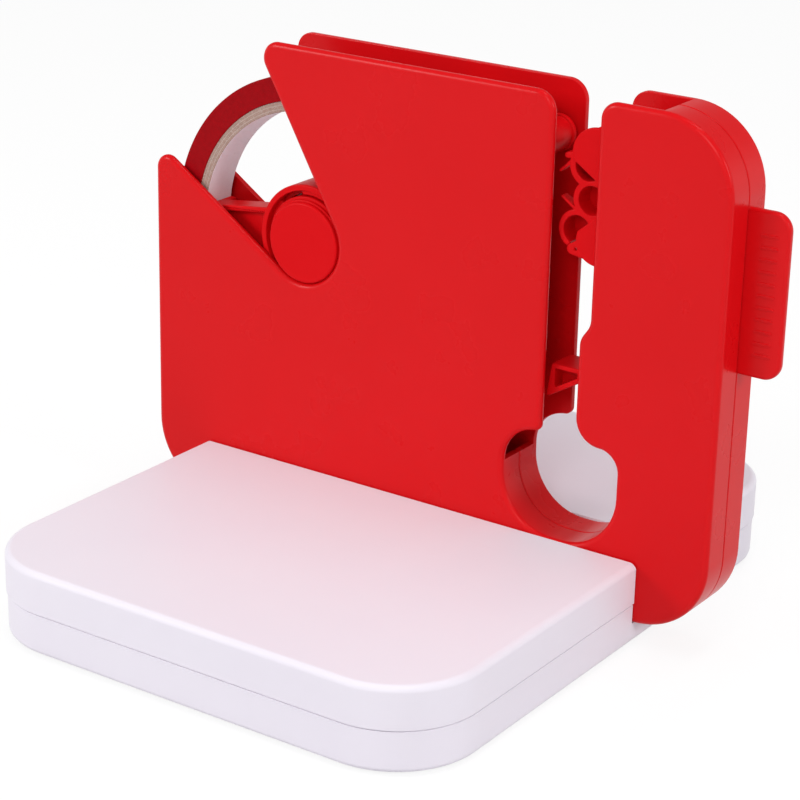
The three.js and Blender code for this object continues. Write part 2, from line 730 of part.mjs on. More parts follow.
// A swinging arm that bars the slot: a wedge-shaped nose, hollow from both sides, on a beam.
function arm() {
  const noseBottom = armTopZ - armNoseDrop;
  const beamBottom = armTopZ - armBeam;
  const noseCorners = [
    corner(armLeft - armNoseHook, noseBottom, armNoseRadius),
    corner(armLeft, armTopZ, armNoseRadius),
    corner(armPivotX, armTopZ),
    corner(armPivotX, beamBottom),
    corner(armLeft + armNoseLength, beamBottom),
  ];
  const body = slab(outline(noseCorners), armFront, armBack);
  const slope = (beamBottom - noseBottom) / (armNoseLength + armNoseHook);
  const ribZ = (x) => noseBottom + armLowerRib + (x - armLeft + armNoseHook) * slope;
  const [hollowLeft, hollowRight] = [armLeft + armRib, armLeft + armNoseLength - 2 * armRib];
  const hollowShape = outline([
    corner(hollowLeft, ribZ(hollowLeft)),
    corner(hollowLeft, armTopZ - armRib),
    corner(hollowRight, armTopZ - armRib),
    corner(hollowRight, ribZ(hollowRight)),
  ]);
  const hollows = slab(hollowShape, armFront - overrun, midY - armWeb / 2)
    .add(slab(hollowShape, midY + armWeb / 2, armBack + overrun));
  const hub = rod(armPivotX, armPivotZ, armHubRadius, turningFront, turningBack);
  const bore = rod(armPivotX, armPivotZ, pinRadius + runningGap, 0, bodyThickness);
  return joined([body.subtract(hollows), hub]).subtract(bore);
}

class Helix extends THREE.Curve {
  constructor(radius, height, turns) {
    super();
    Object.assign(this, { radius, height, turns });
  }

  getPoint(t, target = new THREE.Vector3()) {
    const angle = 2 * Math.PI * this.turns * t;
    return target.set(this.radius * Math.cos(angle), this.radius * Math.sin(angle), this.height * t);
  }
}

// A compression spring between the shelf and the arm's beam.
function armSpring() {
  const bottom = springShelfTop + springWire + seatGap;
  const top = armTopZ - armBeam - springWire - seatGap;
  const wire = new THREE.Shape().absarc(0, 0, springWire, 0, 2 * Math.PI, false);
  const coil = new THREE.ExtrudeGeometry(wire, {
    steps: springTurns * springSteps,
    curveSegments: 2,
    extrudePath: new Helix(springRadius, top - bottom, springTurns),
  });
  return solid(coil).translate([springX, midY, bottom]);
}

const bladeZ = armTopZ + bladeHeightAboveArm;

// The block above the arm: it grips the blade, and the arm rests against its underside.
function bladeHolder() {
  const left = slotRight + runningGap;
  const bottom = armTopZ + runningGap;
  const grip = box(
    left, frontInside + seatGap, bottom,
    left + holderLength, rearInside - seatGap, bottom + holderHeight,
  );
  const halfSlit = bladeThickness / 2 + seatGap;
  const slit = box(
    left - overrun, armFront - seatGap, bladeZ - halfSlit,
    neckRight + bladeRecess + bladeLength + seatGap, armBack + seatGap, bladeZ + halfSlit,
  );
  return grip.subtract(slit);
}

// A saw-toothed strip of steel with its teeth just behind the neck's edge.
function cutterBlade() {
  const tips = neckRight + bladeRecess;
  const pitch = (armBack - armFront) / bladeToothCount;
  const shape = new THREE.Shape();
  shape.moveTo(tips + bladeLength, armFront);
  shape.lineTo(tips + bladeLength, armBack);
  for (let i = bladeToothCount; i > 0; i -= 1) {
    shape.lineTo(tips + bladeToothDepth, armFront + i * pitch);
    shape.lineTo(tips, armFront + (i - 0.5) * pitch);
  }
  shape.lineTo(tips + bladeToothDepth, armFront);
  shape.closePath();
  return block(shape, bladeZ - bladeThickness / 2, bladeZ + bladeThickness / 2);
}

// ---------------------------------------------------------------- assembly

const sealer = new THREE.Group();
sealer.position.set(-tabRight / 2, -(baseFront + baseBack) / 2, footProud);

const stand = new THREE.Group();
stand.add(node('base_tray', tray(), whitePlastic));
stand.add(node('base_cover_front',
  cover(baseFront, channelFront, baseCorner, 0, frontScrews), whitePlastic));
stand.add(node('base_cover_rear',
  cover(channelBack, baseBack, 0, baseCorner, rearScrews), whitePlastic));
[...frontScrews, ...rearScrews].forEach(([x, y], i) => {
  stand.add(node(`base_screw_${i + 1}`, baseScrew(x, y), steel));
});
feetSpots.forEach(([x, y], i) => {
  stand.add(node(`rubber_foot_${i + 1}`, foot(x, y), blackRubber));
});

const dispenser = new THREE.Group();
dispenser.add(node('front_shell', frontShell(), redPlastic));
dispenser.add(node('rear_shell', rearShell(), redPlastic));
shellScrews.forEach(([x, z], i) => {
  dispenser.add(node(`shell_screw_${i + 1}`, shellScrew(x, z), steel));
});
dispenser.add(node('roller_pin', pin(rollerX, rollerZ), steel));
dispenser.add(node('star_wheel_pin', pin(starX, starZ), steel));
dispenser.add(node('arm_pin', pin(armPivotX, armPivotZ), steel));
dispenser.add(node('blade_holder', bladeHolder(), redPlastic));
dispenser.add(node('cutter_blade', cutterBlade(), steel));
dispenser.add(node('guide_roller', guideRoller(), redPlastic));
dispenser.add(node('star_wheel', starWheel(), redPlastic));
dispenser.add(node('press_arm', arm(), redPlastic));
dispenser.add(node('arm_spring', armSpring(), steel));
dispenser.add(node('spool_axle', axle(), redPlastic));
dispenser.add(node('spool', spool(), redPlastic));
dispenser.add(node('tape_core', tapeCore(), cardboard));
dispenser.add(node('tape_roll', tapeRoll(), darkRedTape));

sealer.add(stand, dispenser);

export default sealer;
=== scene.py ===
import math

import bmesh
import bpy
from mathutils import Matrix, Vector
from mathutils.geometry import delaunay_2d_cdt

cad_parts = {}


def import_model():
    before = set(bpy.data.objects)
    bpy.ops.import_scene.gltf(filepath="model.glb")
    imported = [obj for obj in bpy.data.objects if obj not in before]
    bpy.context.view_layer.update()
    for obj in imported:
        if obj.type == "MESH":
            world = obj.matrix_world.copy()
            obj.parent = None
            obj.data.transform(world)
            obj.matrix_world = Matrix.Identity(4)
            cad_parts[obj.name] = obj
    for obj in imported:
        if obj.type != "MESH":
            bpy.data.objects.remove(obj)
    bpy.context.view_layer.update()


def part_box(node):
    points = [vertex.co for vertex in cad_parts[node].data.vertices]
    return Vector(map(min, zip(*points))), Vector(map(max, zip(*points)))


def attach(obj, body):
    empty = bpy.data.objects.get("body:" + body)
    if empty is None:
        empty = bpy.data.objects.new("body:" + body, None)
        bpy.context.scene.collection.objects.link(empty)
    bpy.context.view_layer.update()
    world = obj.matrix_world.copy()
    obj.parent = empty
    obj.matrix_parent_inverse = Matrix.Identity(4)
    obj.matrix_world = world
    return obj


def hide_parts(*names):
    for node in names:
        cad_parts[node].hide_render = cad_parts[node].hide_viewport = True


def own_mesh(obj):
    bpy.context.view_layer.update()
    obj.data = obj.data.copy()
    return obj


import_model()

# All sizes are in millimetres, in the body's own frame: X from the body's left side, Y from
# its front face, Z from the underside of the base. ORIGIN puts that frame into the row frame.
ORIGIN = Vector((
    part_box("front_shell")[0].x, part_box("front_shell")[0].y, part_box("base_tray")[0].z,
))
MM = 0.001


def in_row(x, y, z):
    """A place in the frame that all objects share, in metres."""
    return ORIGIN + Vector((x, y, z)) * MM


def rotation(degrees, axis):
    return Matrix.Rotation(math.radians(degrees), 4, axis)


def own_box(node):
    """A CAD node's lowest and highest corner in the body's own frame."""
    low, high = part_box(node)
    return (low - ORIGIN) / MM, (high - ORIGIN) / MM


def middle(node, axes="xz"):
    """The middle of a CAD node along the given axes."""
    low, high = own_box(node)
    return tuple((getattr(low, axis) + getattr(high, axis)) / 2 for axis in axes)


def numbered(name, count):
    """The names of a CAD node's copies."""
    return [f"{name}_{i}" for i in range(1, count + 1)]


# ------ sizes

GAP = 0.3  # running gap between pieces that move
SHELL_LOW, SHELL_HIGH = own_box("front_shell")
REAR_LOW, REAR_HIGH = own_box("rear_shell")
TRAY_LOW, TRAY_HIGH = own_box("base_tray")

BODY_RIGHT, BODY_BACK = SHELL_HIGH.x, REAR_HIGH.y
BODY_BOTTOM, BODY_TOP = SHELL_LOW.z, SHELL_HIGH.z
TAB_RIGHT = REAR_HIGH.x
FRONT_SEAM, REAR_SEAM = SHELL_HIGH.y, REAR_LOW.y
MID_Y = BODY_BACK / 2
PLATE, WALL = 2.0, 2.0  # thickness of the side plates and of the rim
BODY_CORNER = 22.0
LEFT_WALL_TOP, HOLE_WALL_TOP = 60.0, 43.7

SLOT_LEFT, SLOT_RIGHT = 137.85, 151.9
NECK_RIGHT, NECK_TOP, NECK_RISE, NECK_BLEND = 148.8, 84.9, 4.4, 5.8
HOLE_LEFT, HOLE_RIGHT, HOLE_BOTTOM, HOLE_TOP = 125.9, 162.7, 24.3, 54.7
SEAT = (54.7, 94.75, 12.9)  # X, Z and radius of the axle's seat
NOTCH_LOWER, NOTCH_UPPER = math.radians(146.3), math.radians(120)

TURN_FRONT, TURN_BACK = 3.3, 15.7  # of the roller, the wheel and the arm's hub
REEL_FRONT, REEL_BACK = PLATE + GAP, BODY_BACK - PLATE - GAP
PIN_RADIUS, PIN_BORE = 1.5, 1.8

AXLE = middle("tape_core")
ROLLER = middle("roller_pin")
STAR = middle("star_wheel_pin")
PIVOT = middle("arm_pin")
SPRING = middle("arm_spring")
SHELL_SCREWS = numbered("shell_screw", 7)
BASE_SCREWS = numbered("base_screw", 8)
FEET = numbered("rubber_foot", 4)


# ------ outlines

STRAIGHT = 0.02  # how far from an edge a point may lie and still be on it
ENDS = 0.001  # share of an edge, at each end, that gets no new point
APART = 0.001  # points closer than this are one
TINY = 1e-9  # keeps a division from failing


def ways(corners, i):
    """The ways from a corner to the ones before and after it."""
    at = Vector(corners[i][:2])
    return [Vector(corners[j % len(corners)][:2]) - at for j in (i - 1, i + 1)]


def fitted(corners):
    """The corners, each radius held to what its two edges have room for."""
    reach, room = [], []
    for i, (_, _, r) in enumerate(corners):
        before, after = ways(corners, i)
        reach.append(r / math.tan(before.angle(after, math.pi) / 2))
    for i, (x, z, _) in enumerate(corners):
        j = (i + 1) % len(corners)
        length = math.dist((x, z), corners[j][:2])
        room.append(min(1, length / max(reach[i] + reach[j], TINY)))
    return [(x, z, r * min(room[i], room[i - 1])) for i, (x, z, r) in enumerate(corners)]


def spaced(points, least=APART):
    """The outline without points that lie almost on the one before."""
    kept = []
    for p in points:
        if not kept or math.dist(p, kept[-1]) > least:
            kept.append(p)
    return kept[:-1] if math.dist(kept[0], kept[-1]) <= least else kept


def rounded(corners, degrees, closed=True):
    """Points of an outline whose corners (x, z, radius) are rounded in steps of some degrees."""
    points = []
    if closed:
        corners = fitted(corners)
    for i, (x, z, r) in enumerate(corners):
        end = not closed and i in (0, len(corners) - 1)
        if not r or end:
            points.append((x, z))
            continue
        at = Vector((x, z))
        before, after = (way.normalized() for way in ways(corners, i))
        half = before.angle(after) / 2
        centre = at + (before + after).normalized() * (r / math.sin(half))
        start = at + before * (r / math.tan(half)) - centre
        turn = math.pi - 2 * half
        if before.cross(after) > 0:
            turn = -turn
        steps = max(3, math.ceil(abs(math.degrees(turn)) / degrees))
        for k in range(steps + 1):
            c, s = math.cos(turn * k / steps), math.sin(turn * k / steps)
            points.append((
                centre.x + start.x * c - start.y * s, centre.y + start.x * s + start.y * c,
            ))
    return spaced(points) if closed else points


def rectangle(left, low, right, high, radii, degrees=30):
    """A rectangle with one radius, or four from the lower left, round by the upper left."""
    places = (left, low), (left, high), (right, high), (right, low)
    radii = radii if isinstance(radii, tuple) else (radii,) * 4
    return rounded([(*place, r) for place, r in zip(places, radii)], degrees)


def area(points):
    return sum(a[0] * b[1] - b[0] * a[1] for a, b in zip(points, points[1:] + points[:1])) / 2


def inset(points, distance, side=None):
    """The outline moved inwards by a distance, or to its left for side 1."""
    side = side or (1 if area(points) > 0 else -1)
    moved = []
    for i, (x, z) in enumerate(points):
        into = (Vector((x, z)) - Vector(points[i - 1])).normalized()
        out = (Vector(points[(i + 1) % len(points)]) - Vector((x, z))).normalized()
        share = side * distance / (1 + into.dot(out))
        moved.append((x - (into.y + out.y) * share, z + (into.x + out.x) * share))
    return moved


def with_points(points, extra):
    """The outline with more points on its straight edges."""
    result = list(points)
    for x, z in extra:
        for i, a in enumerate(result):
            b = result[(i + 1) % len(result)]
            along = Vector((b[0] - a[0], b[1] - a[1]))
            at = Vector((x - a[0], z - a[1]))
            t = at.dot(along) / max(along.length_squared, TINY)
            if ENDS < t < 1 - ENDS and abs(along.cross(at)) < STRAIGHT * along.length:
                result.insert(i + 1, (x, z))
                break
    return result


def circle(x, z, r, sides=48):
    return [(x + r * math.cos(a), z + r * math.sin(a)) for a in full_turn(sides)]


def full_turn(sides):
    """Equal steps of an angle all the way round."""
    return [2 * math.pi * k / sides for k in range(sides)]


def sweep(x, z, r, start, end, degrees=7.5):
    """Points of an arc from one angle to another, in degrees."""
    steps = max(2, math.ceil(abs(end - start) / degrees))
    return [polar(r, start + (end - start) * k / steps, (x, z)) for k in range(steps + 1)]


def capsule(a, ra, b, rb):
    """The outline round two circles and between them."""
    way = math.degrees(math.atan2(b[1] - a[1], b[0] - a[0]))
    lean = math.degrees(math.acos((ra - rb) / math.dist(a, b)))
    return sweep(*a, ra, way + lean, way - lean + 360) + sweep(*b, rb, way - lean, way + lean)


def band(x, z, inner, outer, start, end):
    """A part of a ring with a round end."""
    mid = (inner + outer) / 2
    tip = sweep(*polar(mid, end, (x, z)), outer - mid, end, end + 180, 20)
    return sweep(x, z, outer, start, end) + tip[1:-1] + sweep(x, z, inner, end, start)


def polar(length, degrees, start=(0, 0)):
    """The place at a distance from the start, in a direction."""
    a = math.radians(degrees)
    return start[0] + length * math.cos(a), start[1] + length * math.sin(a)


def spun(points, degrees):
    """Points turned round the origin."""
    c, s = math.cos(math.radians(degrees)), math.sin(math.radians(degrees))
    return [(x * c - z * s, x * s + z * c) for x, z in points]


def triangles(outlines, holes):
    """Points, triangles and source points of flat shapes that may overlap, less the holes."""
    points, faces = [], []
    for outline in outlines + holes:
        faces.append(list(range(len(points), len(points) + len(outline))))
        points += [Vector(p) for p in outline]
    only_inside, merge_distance = 1, 1e-5
    at, _, found, source, _, owners = delaunay_2d_cdt(
        points, [], faces, only_inside, merge_distance, True)
    kept = [f for f, ids in zip(found, owners) if ids and max(ids) < len(outlines)]
    return at, kept, source


def united(outlines, holes):
    """Flat shapes joined, less the holes: loops that have the material on their left."""
    shortest_edge = 0.12
    at, kept, _ = triangles(outlines, holes)
    edges = {(a, b) for f in kept for a, b in zip(f, f[1:] + f[:1])}
    follow = {a: b for a, b in edges if (b, a) not in edges}
    loops = []
    while follow:
        loop, here = [], min(follow)
        while here in follow:
            loop.append(tuple(at[here]))
            here = follow.pop(here)
        loops.append(spaced(loop, shortest_edge))
    return [loop for loop in loops if len(loop) > 2]


def arc(steps, radius):
    """(inset, depth) of a fillet's points, from the face to the side."""
    return [
        (radius * (1 - math.sin(a)), radius * (1 - math.cos(a)))
        for a in (math.pi / 2 * k / steps for k in range(steps + 1))
    ]


def soft_rows(low, high, soft, steps=3):
    """(inset, level) of the rows of points of a slab with rounded edges."""
    fillet = arc(steps, soft) if soft else [(0, 0)]
    return [(d, low + t) for d, t in fillet] + [(d, high - t) for d, t in reversed(fillet)]


def level(outline, z):
    """An outline in X and Y at a height."""
    return [(x, y, z) for x, y in outline]


def strip(a, b, n):
    """Faces between two closed rows of n points that start at a and b."""
    return [[a + i, a + (i + 1) % n, b + (i + 1) % n, b + i] for i in range(n)]


# ------ meshes

SHARP = math.radians(32)  # edges that turn more than this stay sharp
SAME_PLACE = 1e-7  # vertices closer than this are one, in metres


class Build:
    """Vertices in millimetres and faces of one piece."""

    def __init__(self):
        self.points, self.faces = [], []

    def add(self, points, faces):
        base = len(self.points)
        self.points += [tuple(p) for p in points]
        self.faces += [[base + i for i in f] for f in faces]
        return self

    def join(self, other):
        return self.add(other.points, other.faces)

    def rings(self, rings, round_trip=False):
        """A skin over rings of equally many points, with two flat ends or closed on itself."""
        n = len(rings[0])
        faces = []
        for r in range(len(rings) if round_trip else len(rings) - 1):
            faces += strip(r * n, (r + 1) % len(rings) * n, n)
        if not round_trip:
            faces += [list(range(n))[::-1], list(range((len(rings) - 1) * n, len(rings) * n))]
        return self.add([p for ring in rings for p in ring], faces)

    def slab(self, outline, y0, y1, soft, steps=3):
        """An outline in X and Z, from y0 to y1, with rounded edges."""
        rows = soft_rows(y0, y1, soft, steps)
        return self.rings([[(x, y, z) for x, z in inset(outline, d)] for d, y in rows])

    def block(self, outline, z0, z1):
        """An outline in X and Y, from z0 to z1."""
        return self.rings([level(outline, z0), level(outline, z1)])

    def sheet(self, loops, y0, y1, soft):
        """A flat piece with holes, from y0 to y1, with rounded edges."""
        rows = soft_rows(y0, y1, soft)
        count = sum(len(loop) for loop in loops)
        points, faces = [], []
        for d, y in rows:
            points += [(x, y, z) for loop in loops for x, z in inset(loop, d, 1)]
        for r in range(len(rows) - 1):
            a = r * count
            for loop in loops:
                faces += strip(a, a + count, len(loop))
                a += len(loop)
        cap = self.cap([inset(loop, soft, 1) for loop in loops])
        faces += [f[::-1] for f in cap]
        faces += [[i + (len(rows) - 1) * count for i in f] for f in cap]
        return self.add(points, faces)

    @staticmethod
    def cap(loops):
        """Triangles between loops, as places in their joined list of points."""
        order, start = [], 0
        for loop in loops:
            ids = list(range(start, start + len(loop)))
            order.append((area(loop) > 0, loop, ids))
            start += len(loop)
        solid = [(loop, ids) for filled, loop, ids in order if filled]
        empty = [(loop[::-1], ids[::-1]) for filled, loop, ids in order if not filled]
        places = [i for _, ids in solid + empty for i in ids]
        _, kept, source = triangles([loop for loop, _ in solid], [loop for loop, _ in empty])
        return [[places[source[v][0]] for v in f] for f in kept]

    def turned(self, profile, x, z, sides, closed=False):
        """A piece turned round the Y axis through (x, z), from (radius, y) points.

        The profile closes on itself, or starts and ends on the axis."""
        rows = [
            [(x + r * math.cos(a), y, z + r * math.sin(a)) for a in full_turn(sides)]
            for r, y in (profile if closed else profile[1:-1])
        ]
        if closed:
            return self.rings(rows, True)
        points = [(x, profile[0][1], z), *(p for row in rows for p in row), (x, profile[-1][1], z)]
        starts = [1 + k * sides for k in range(len(rows))]
        sectors = [(i, (i + 1) % sides) for i in range(sides)]
        faces = [[0, starts[0] + j, starts[0] + i] for i, j in sectors]
        for a, b in zip(starts, starts[1:]):
            faces += strip(a, b, sides)
        faces += [[starts[-1] + i, starts[-1] + j, len(points) - 1] for i, j in sectors]
        return self.add(points, faces)

    def upright(self, profile, x, y, sides=48, closed=False):
        """A piece turned round the Z axis through (x, y), from (radius, z) points."""
        part = Build().turned(profile, 0, 0, sides, closed)
        return self.add([(px + x, pz + y, py) for px, py, pz in part.points], part.faces)

    def ring(self, inner, outer, y0, y1, x, z, soft, sides):
        return self.turned(rectangle(inner, y0, outer, y1, soft), x, z, sides, True)

    def moved(self, turn, x=0, z=0):
        """The same piece turned in X and Z by degrees, then moved."""
        flat = spun([(px, pz) for px, _, pz in self.points], turn)
        self.points = [(u + x, p[1], v + z) for p, (u, v) in zip(self.points, flat)]
        return self

    def mesh(self, name):
        data = bpy.data.meshes.new(name)
        data.from_pydata([in_row(*p) for p in self.points], [], self.faces)
        return tidy_mesh(data)


def tidy_mesh(data):
    """Faces point outwards, and only sharp edges stay sharp."""
    work = bmesh.new()
    work.from_mesh(data)
    bmesh.ops.remove_doubles(work, verts=work.verts, dist=SAME_PLACE)
    bmesh.ops.dissolve_degenerate(work, edges=work.edges, dist=SAME_PLACE)
    bmesh.ops.recalc_face_normals(work, faces=work.faces)
    work.to_mesh(data)
    work.free()
    data.shade_smooth()
    data.set_sharp_from_angle(angle=SHARP)
    data.update()
    return data


def merged(*meshes):
    """Several meshes as one."""
    work = bmesh.new()
    for data in meshes:
        work.from_mesh(data)
    result = bpy.data.meshes.new(meshes[0].name)
    work.to_mesh(result)
    work.free()
    return tidy_mesh(result)


def linked(name, data):
    """A new object in the scene."""
    thing = bpy.data.objects.new(name, data)
    bpy.context.scene.collection.objects.link(thing)
    return thing


def stand_in(name, data, body, node, place=Matrix()):
    """A new object on its body, standing for its CAD node."""
    thing = linked(name, data)
    thing.matrix_world = place
    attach(thing, body)
    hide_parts(node)
    return thing


def piece(name, data, body, node, slot, *materials):
    """A finished piece with its materials and even normals."""
    if isinstance(data, Build):
        data = data.mesh(name)
    for material in materials:
        data.materials.append(material)
    thing = stand_in(name, data, body, node)
    normals = thing.modifiers.new("even_normals", "WEIGHTED_NORMAL")
    normals.keep_sharp = True
    normals.weight = 90
    return thing


def cut(build, cutters, name):
    """The mesh of a build with the cutters' shapes taken away."""
    solid = linked(name, build.mesh(name))
    tool = linked(name + "_cutter", cutters.mesh(name + "_cutter"))
    step = solid.modifiers.new("cut", "BOOLEAN")
    step.operation = "DIFFERENCE"
    step.solver = "EXACT"
    step.object = tool
    graph = bpy.context.evaluated_depsgraph_get()
    data = bpy.data.meshes.new_from_object(solid.evaluated_get(graph))
    for thing in (solid, tool):
        bpy.data.objects.remove(thing)
    data.name = name
    return tidy_mesh(data)


# ------ materials

GRAIN = 0.000012  # height of the spark grain, in metres
SINK = 0.00008  # height of the broad unevenness of moulded faces, in metres
WINDING, PLY = 0.00042, 0.0011  # one layer of tape and of board from the side, in metres


def rgb(red, green, blue):
    """An 8-bit screen colour as linear light."""
    def linear(value):
        value /= 255
        return value / 12.92 if value <= 0.04045 else ((value + 0.055) / 1.055) ** 2.4
    return linear(red), linear(green), linear(blue), 1


def with_inputs(node, **values):
    for key, value in values.items():
        node.inputs[key.replace("_", " ")].default_value = value
    return node


def new_node(nodes, kind, **values):
    """A new shader node with some of its inputs set."""
    return with_inputs(nodes.new("ShaderNode" + kind), **values)


def computed(tree, kind, operation, *values):
    """The outcome of a math node on sockets and plain values."""
    node = new_node(tree.nodes, kind)
    node.operation = operation
    for socket, value in zip(node.inputs, values):
        if isinstance(value, bpy.types.NodeSocket):
            tree.links.new(value, socket)
        else:
            socket.default_value = value
    return node.outputs["Value" if operation == "LENGTH" else 0]


class Finish:
    """A node material around one Principled shader."""

    def __init__(self, name, color, roughness, **settings):
        self.material = bpy.data.materials.new(name)
        self.material.use_nodes = True
        self.tree = self.material.node_tree
        self.nodes, self.links = self.tree.nodes, self.tree.links
        self.shader = with_inputs(
            self.nodes["Principled BSDF"], Base_Color=color, Roughness=roughness, **settings)
        self.place = new_node(self.nodes, "TexCoord").outputs["Object"]

    def noise(self, scale, detail, stretch=None):
        texture = new_node(self.nodes, "TexNoise", Scale=scale, Detail=detail)
        source = self.place
        if stretch:
            mapping = new_node(self.nodes, "Mapping", Scale=stretch)
            self.links.new(source, mapping.inputs["Vector"])
            source = mapping.outputs["Vector"]
        self.links.new(source, texture.inputs["Vector"])
        return texture.outputs["Fac"]

    def spread(self, value, low, high, start, end):
        """A value between start and end, spread from low to high."""
        node = new_node(self.nodes, "MapRange", From_Min=start, From_Max=end,
                        To_Min=low, To_Max=high)
        self.links.new(value, node.inputs["Value"])
        return node.outputs["Result"]

    def patches(self, scale, detail, low, high, start=0.3, end=0.7, stretch=None):
        """Soft random patches that vary from low to high."""
        return self.spread(self.noise(scale, detail, stretch), low, high, start, end)

    def tint(self, amount, other):
        """Mixes another colour over the present one, by amount from 0 to 1."""
        node = new_node(self.nodes, "Mix")
        node.data_type = "RGBA"
        factor, under, over = (node.inputs[i] for i in (0, 6, 7))  # for colours
        self.links.new(amount, factor)
        base = self.shader.inputs["Base Color"]
        if base.is_linked:
            self.links.new(base.links[0].from_socket, under)
        else:
            under.default_value = base.default_value
        over.default_value = other
        self.links.new(node.outputs[2], base)

    def rough(self, value):
        self.links.new(value, self.shader.inputs["Roughness"])

    def bump(self, value, distance):
        """Adds relief to the relief that is already there; the distance is in metres."""
        node = new_node(self.nodes, "Bump", Distance=distance, Strength=1)
        self.links.new(value, node.inputs["Height"])
        normal = self.shader.inputs["Normal"]
        if normal.is_linked:
            self.links.new(normal.links[0].from_socket, node.inputs["Normal"])
        self.links.new(node.outputs["Normal"], normal)

    def mottle(self, scale, amount, shade, grain, height):
        """Adds soft patches of another shade and a fine grain."""
        self.tint(self.patches(scale, 3, 0, amount), shade)
        self.bump(self.noise(grain, 3), height)
        return self.material

    def axle_distance(self):
        """Distance from the roll's axis, in metres."""
        centre = in_row(AXLE[0], 0, AXLE[1])
        shift = computed(self.tree, "VectorMath", "SUBTRACT", self.place, (centre.x, 0, centre.z))
        flat = computed(self.tree, "VectorMath", "MULTIPLY", shift, (1, 0, 1))
        return computed(self.tree, "VectorMath", "LENGTH", flat)

    def wave(self, value, period):
        """0 to 1 to 0 once in each period of the value."""
        folded = computed(self.tree, "Math", "PINGPONG", value, period / 2)
        return self.spread(folded, 0, 1, 0, period / 2)


def moulded(name, color, shade, roughness, specular):
    """Moulded plastic: fine spark grain, faint flow shading and uneven gloss."""
    finish = Finish(name, color, roughness, IOR=1.5, Specular_IOR_Level=specular)
    finish.tint(finish.patches(28, 3, 0, 0.8, 0.1, 0.9), shade)
    finish.rough(finish.patches(60, 4, roughness - 0.03, roughness + 0.04, 0.1, 0.9))
    finish.bump(finish.noise(2600, 2), GRAIN)
    finish.bump(finish.noise(22, 1), SINK)
    return finish.material


def tape_finish():
    finish = Finish("tape_film", rgb(158, 6, 16), 0.34, IOR=1.45, Specular_IOR_Level=0.06)
    winding = finish.wave(finish.axle_distance(), WINDING)
    finish.tint(finish.patches(700, 2, 0, 0.35, stretch=(1, 0.02, 1)), rgb(120, 4, 10))
    finish.tint(finish.spread(winding, 0, 0.16, 0, 1), rgb(176, 16, 26))
    finish.rough(finish.patches(120, 3, 0.32, 0.44))
    finish.bump(winding, 0.00002)
    return finish.material


def board_finish():
    finish = Finish("core_board", rgb(170, 138, 126), 0.85)
    ply = finish.wave(finish.axle_distance(), PLY)
    finish.mottle(1500, 0.8, rgb(150, 120, 108), 3000, 0.00006)
    finish.tint(finish.patches(5200, 2, 0, 0.7, 0.55, 0.75), rgb(222, 214, 204))
    finish.tint(finish.spread(ply, 0, 0.7, 0.86, 1), rgb(226, 218, 208))
    return finish.material


def steel_finish(name, color, roughness, stretch):
    finish = Finish(name, color, roughness, Metallic=1.0)
    finish.tint(finish.patches(300, 3, 0, 0.5), rgb(150, 152, 158))
    finish.rough(finish.patches(500, 2, roughness - 0.06, roughness + 0.12, stretch=stretch))
    finish.bump(finish.noise(3000, 2, stretch), 0.000006)
    return finish.material


RED = moulded("red_plastic", rgb(217, 14, 21), rgb(210, 10, 16), 0.28, 0.15)
RED_INNER = moulded("red_plastic_smooth", rgb(217, 12, 20), rgb(210, 8, 15), 0.36, 0.07)
WHITE = moulded("white_plastic", rgb(239, 234, 243), rgb(235, 229, 240), 0.38, 0.14)
TAPE, BOARD = tape_finish(), board_finish()
PAPER = Finish("core_paper", rgb(244, 238, 243), 0.6).mottle(
    900, 0.5, rgb(238, 230, 237), 2400, 0.00002)
RUBBER = Finish("foot_rubber", rgb(46, 45, 47), 0.82).mottle(
    400, 0.6, rgb(62, 60, 62), 2500, 0.00004)
STEEL = steel_finish("steel", rgb(196, 198, 204), 0.3, (1, 1, 1))
BLADE = steel_finish("blade_steel", rgb(210, 212, 216), 0.22, (1, 8, 1))


# ------ dispenser shells

FRONT_FILLET, REAR_FILLET = (1.7, 1.25), (0.5, 0.5)  # inset and depth of the soft edges
TOP_WALL_START = STAR[0] + 8.5
SCREW_BORE, BOSS, SPACER = 1.55, 4, 3  # radii inside the shells
OVERLAP = 0.3  # how far a boss or rib reaches into what it stands on
SHELF_TOP = 58.5  # of the shelf under the spring
TAB_LOW, TAB_HIGH = 82, 128.1
HEAD_WELL, HEAD_DEPTH = 3.1, 1.8  # radius and depth for screw heads


def notch_apex():
    """Where the notch's two edges would meet, beyond the seat."""
    x, z, r = SEAT
    half, way = (NOTCH_LOWER - NOTCH_UPPER) / 2, (NOTCH_LOWER + NOTCH_UPPER) / 2
    reach = r / math.sin(half)
    return x - reach * math.cos(way), z - reach * math.sin(way)


def body_outline():
    """The corners of both side plates, clockwise from the lower left, with their radii."""
    x, z = notch_apex()
    return [
        (0, BODY_BOTTOM, BODY_CORNER), (0, z - x * math.tan(NOTCH_LOWER), 4.2),
        (x, z, SEAT[2]), (x + (BODY_TOP - z) / math.tan(NOTCH_UPPER), BODY_TOP, 4.9),
        (SLOT_LEFT, BODY_TOP, 6), (SLOT_LEFT, HOLE_TOP + 0.7, 2.2),
        (HOLE_LEFT, HOLE_TOP - 0.5, 11), (HOLE_LEFT, HOLE_BOTTOM, 17),
        (HOLE_RIGHT, HOLE_BOTTOM, 17), (HOLE_RIGHT, HOLE_TOP, 6.3),
        (NECK_RIGHT, HOLE_TOP, 7.9), (NECK_RIGHT, NECK_TOP, NECK_BLEND),
        (SLOT_RIGHT, NECK_TOP + NECK_RISE, NECK_BLEND), (SLOT_RIGHT, BODY_TOP, 5),
        (BODY_RIGHT, BODY_TOP, BODY_CORNER), (BODY_RIGHT, BODY_BOTTOM, BODY_CORNER),
    ]


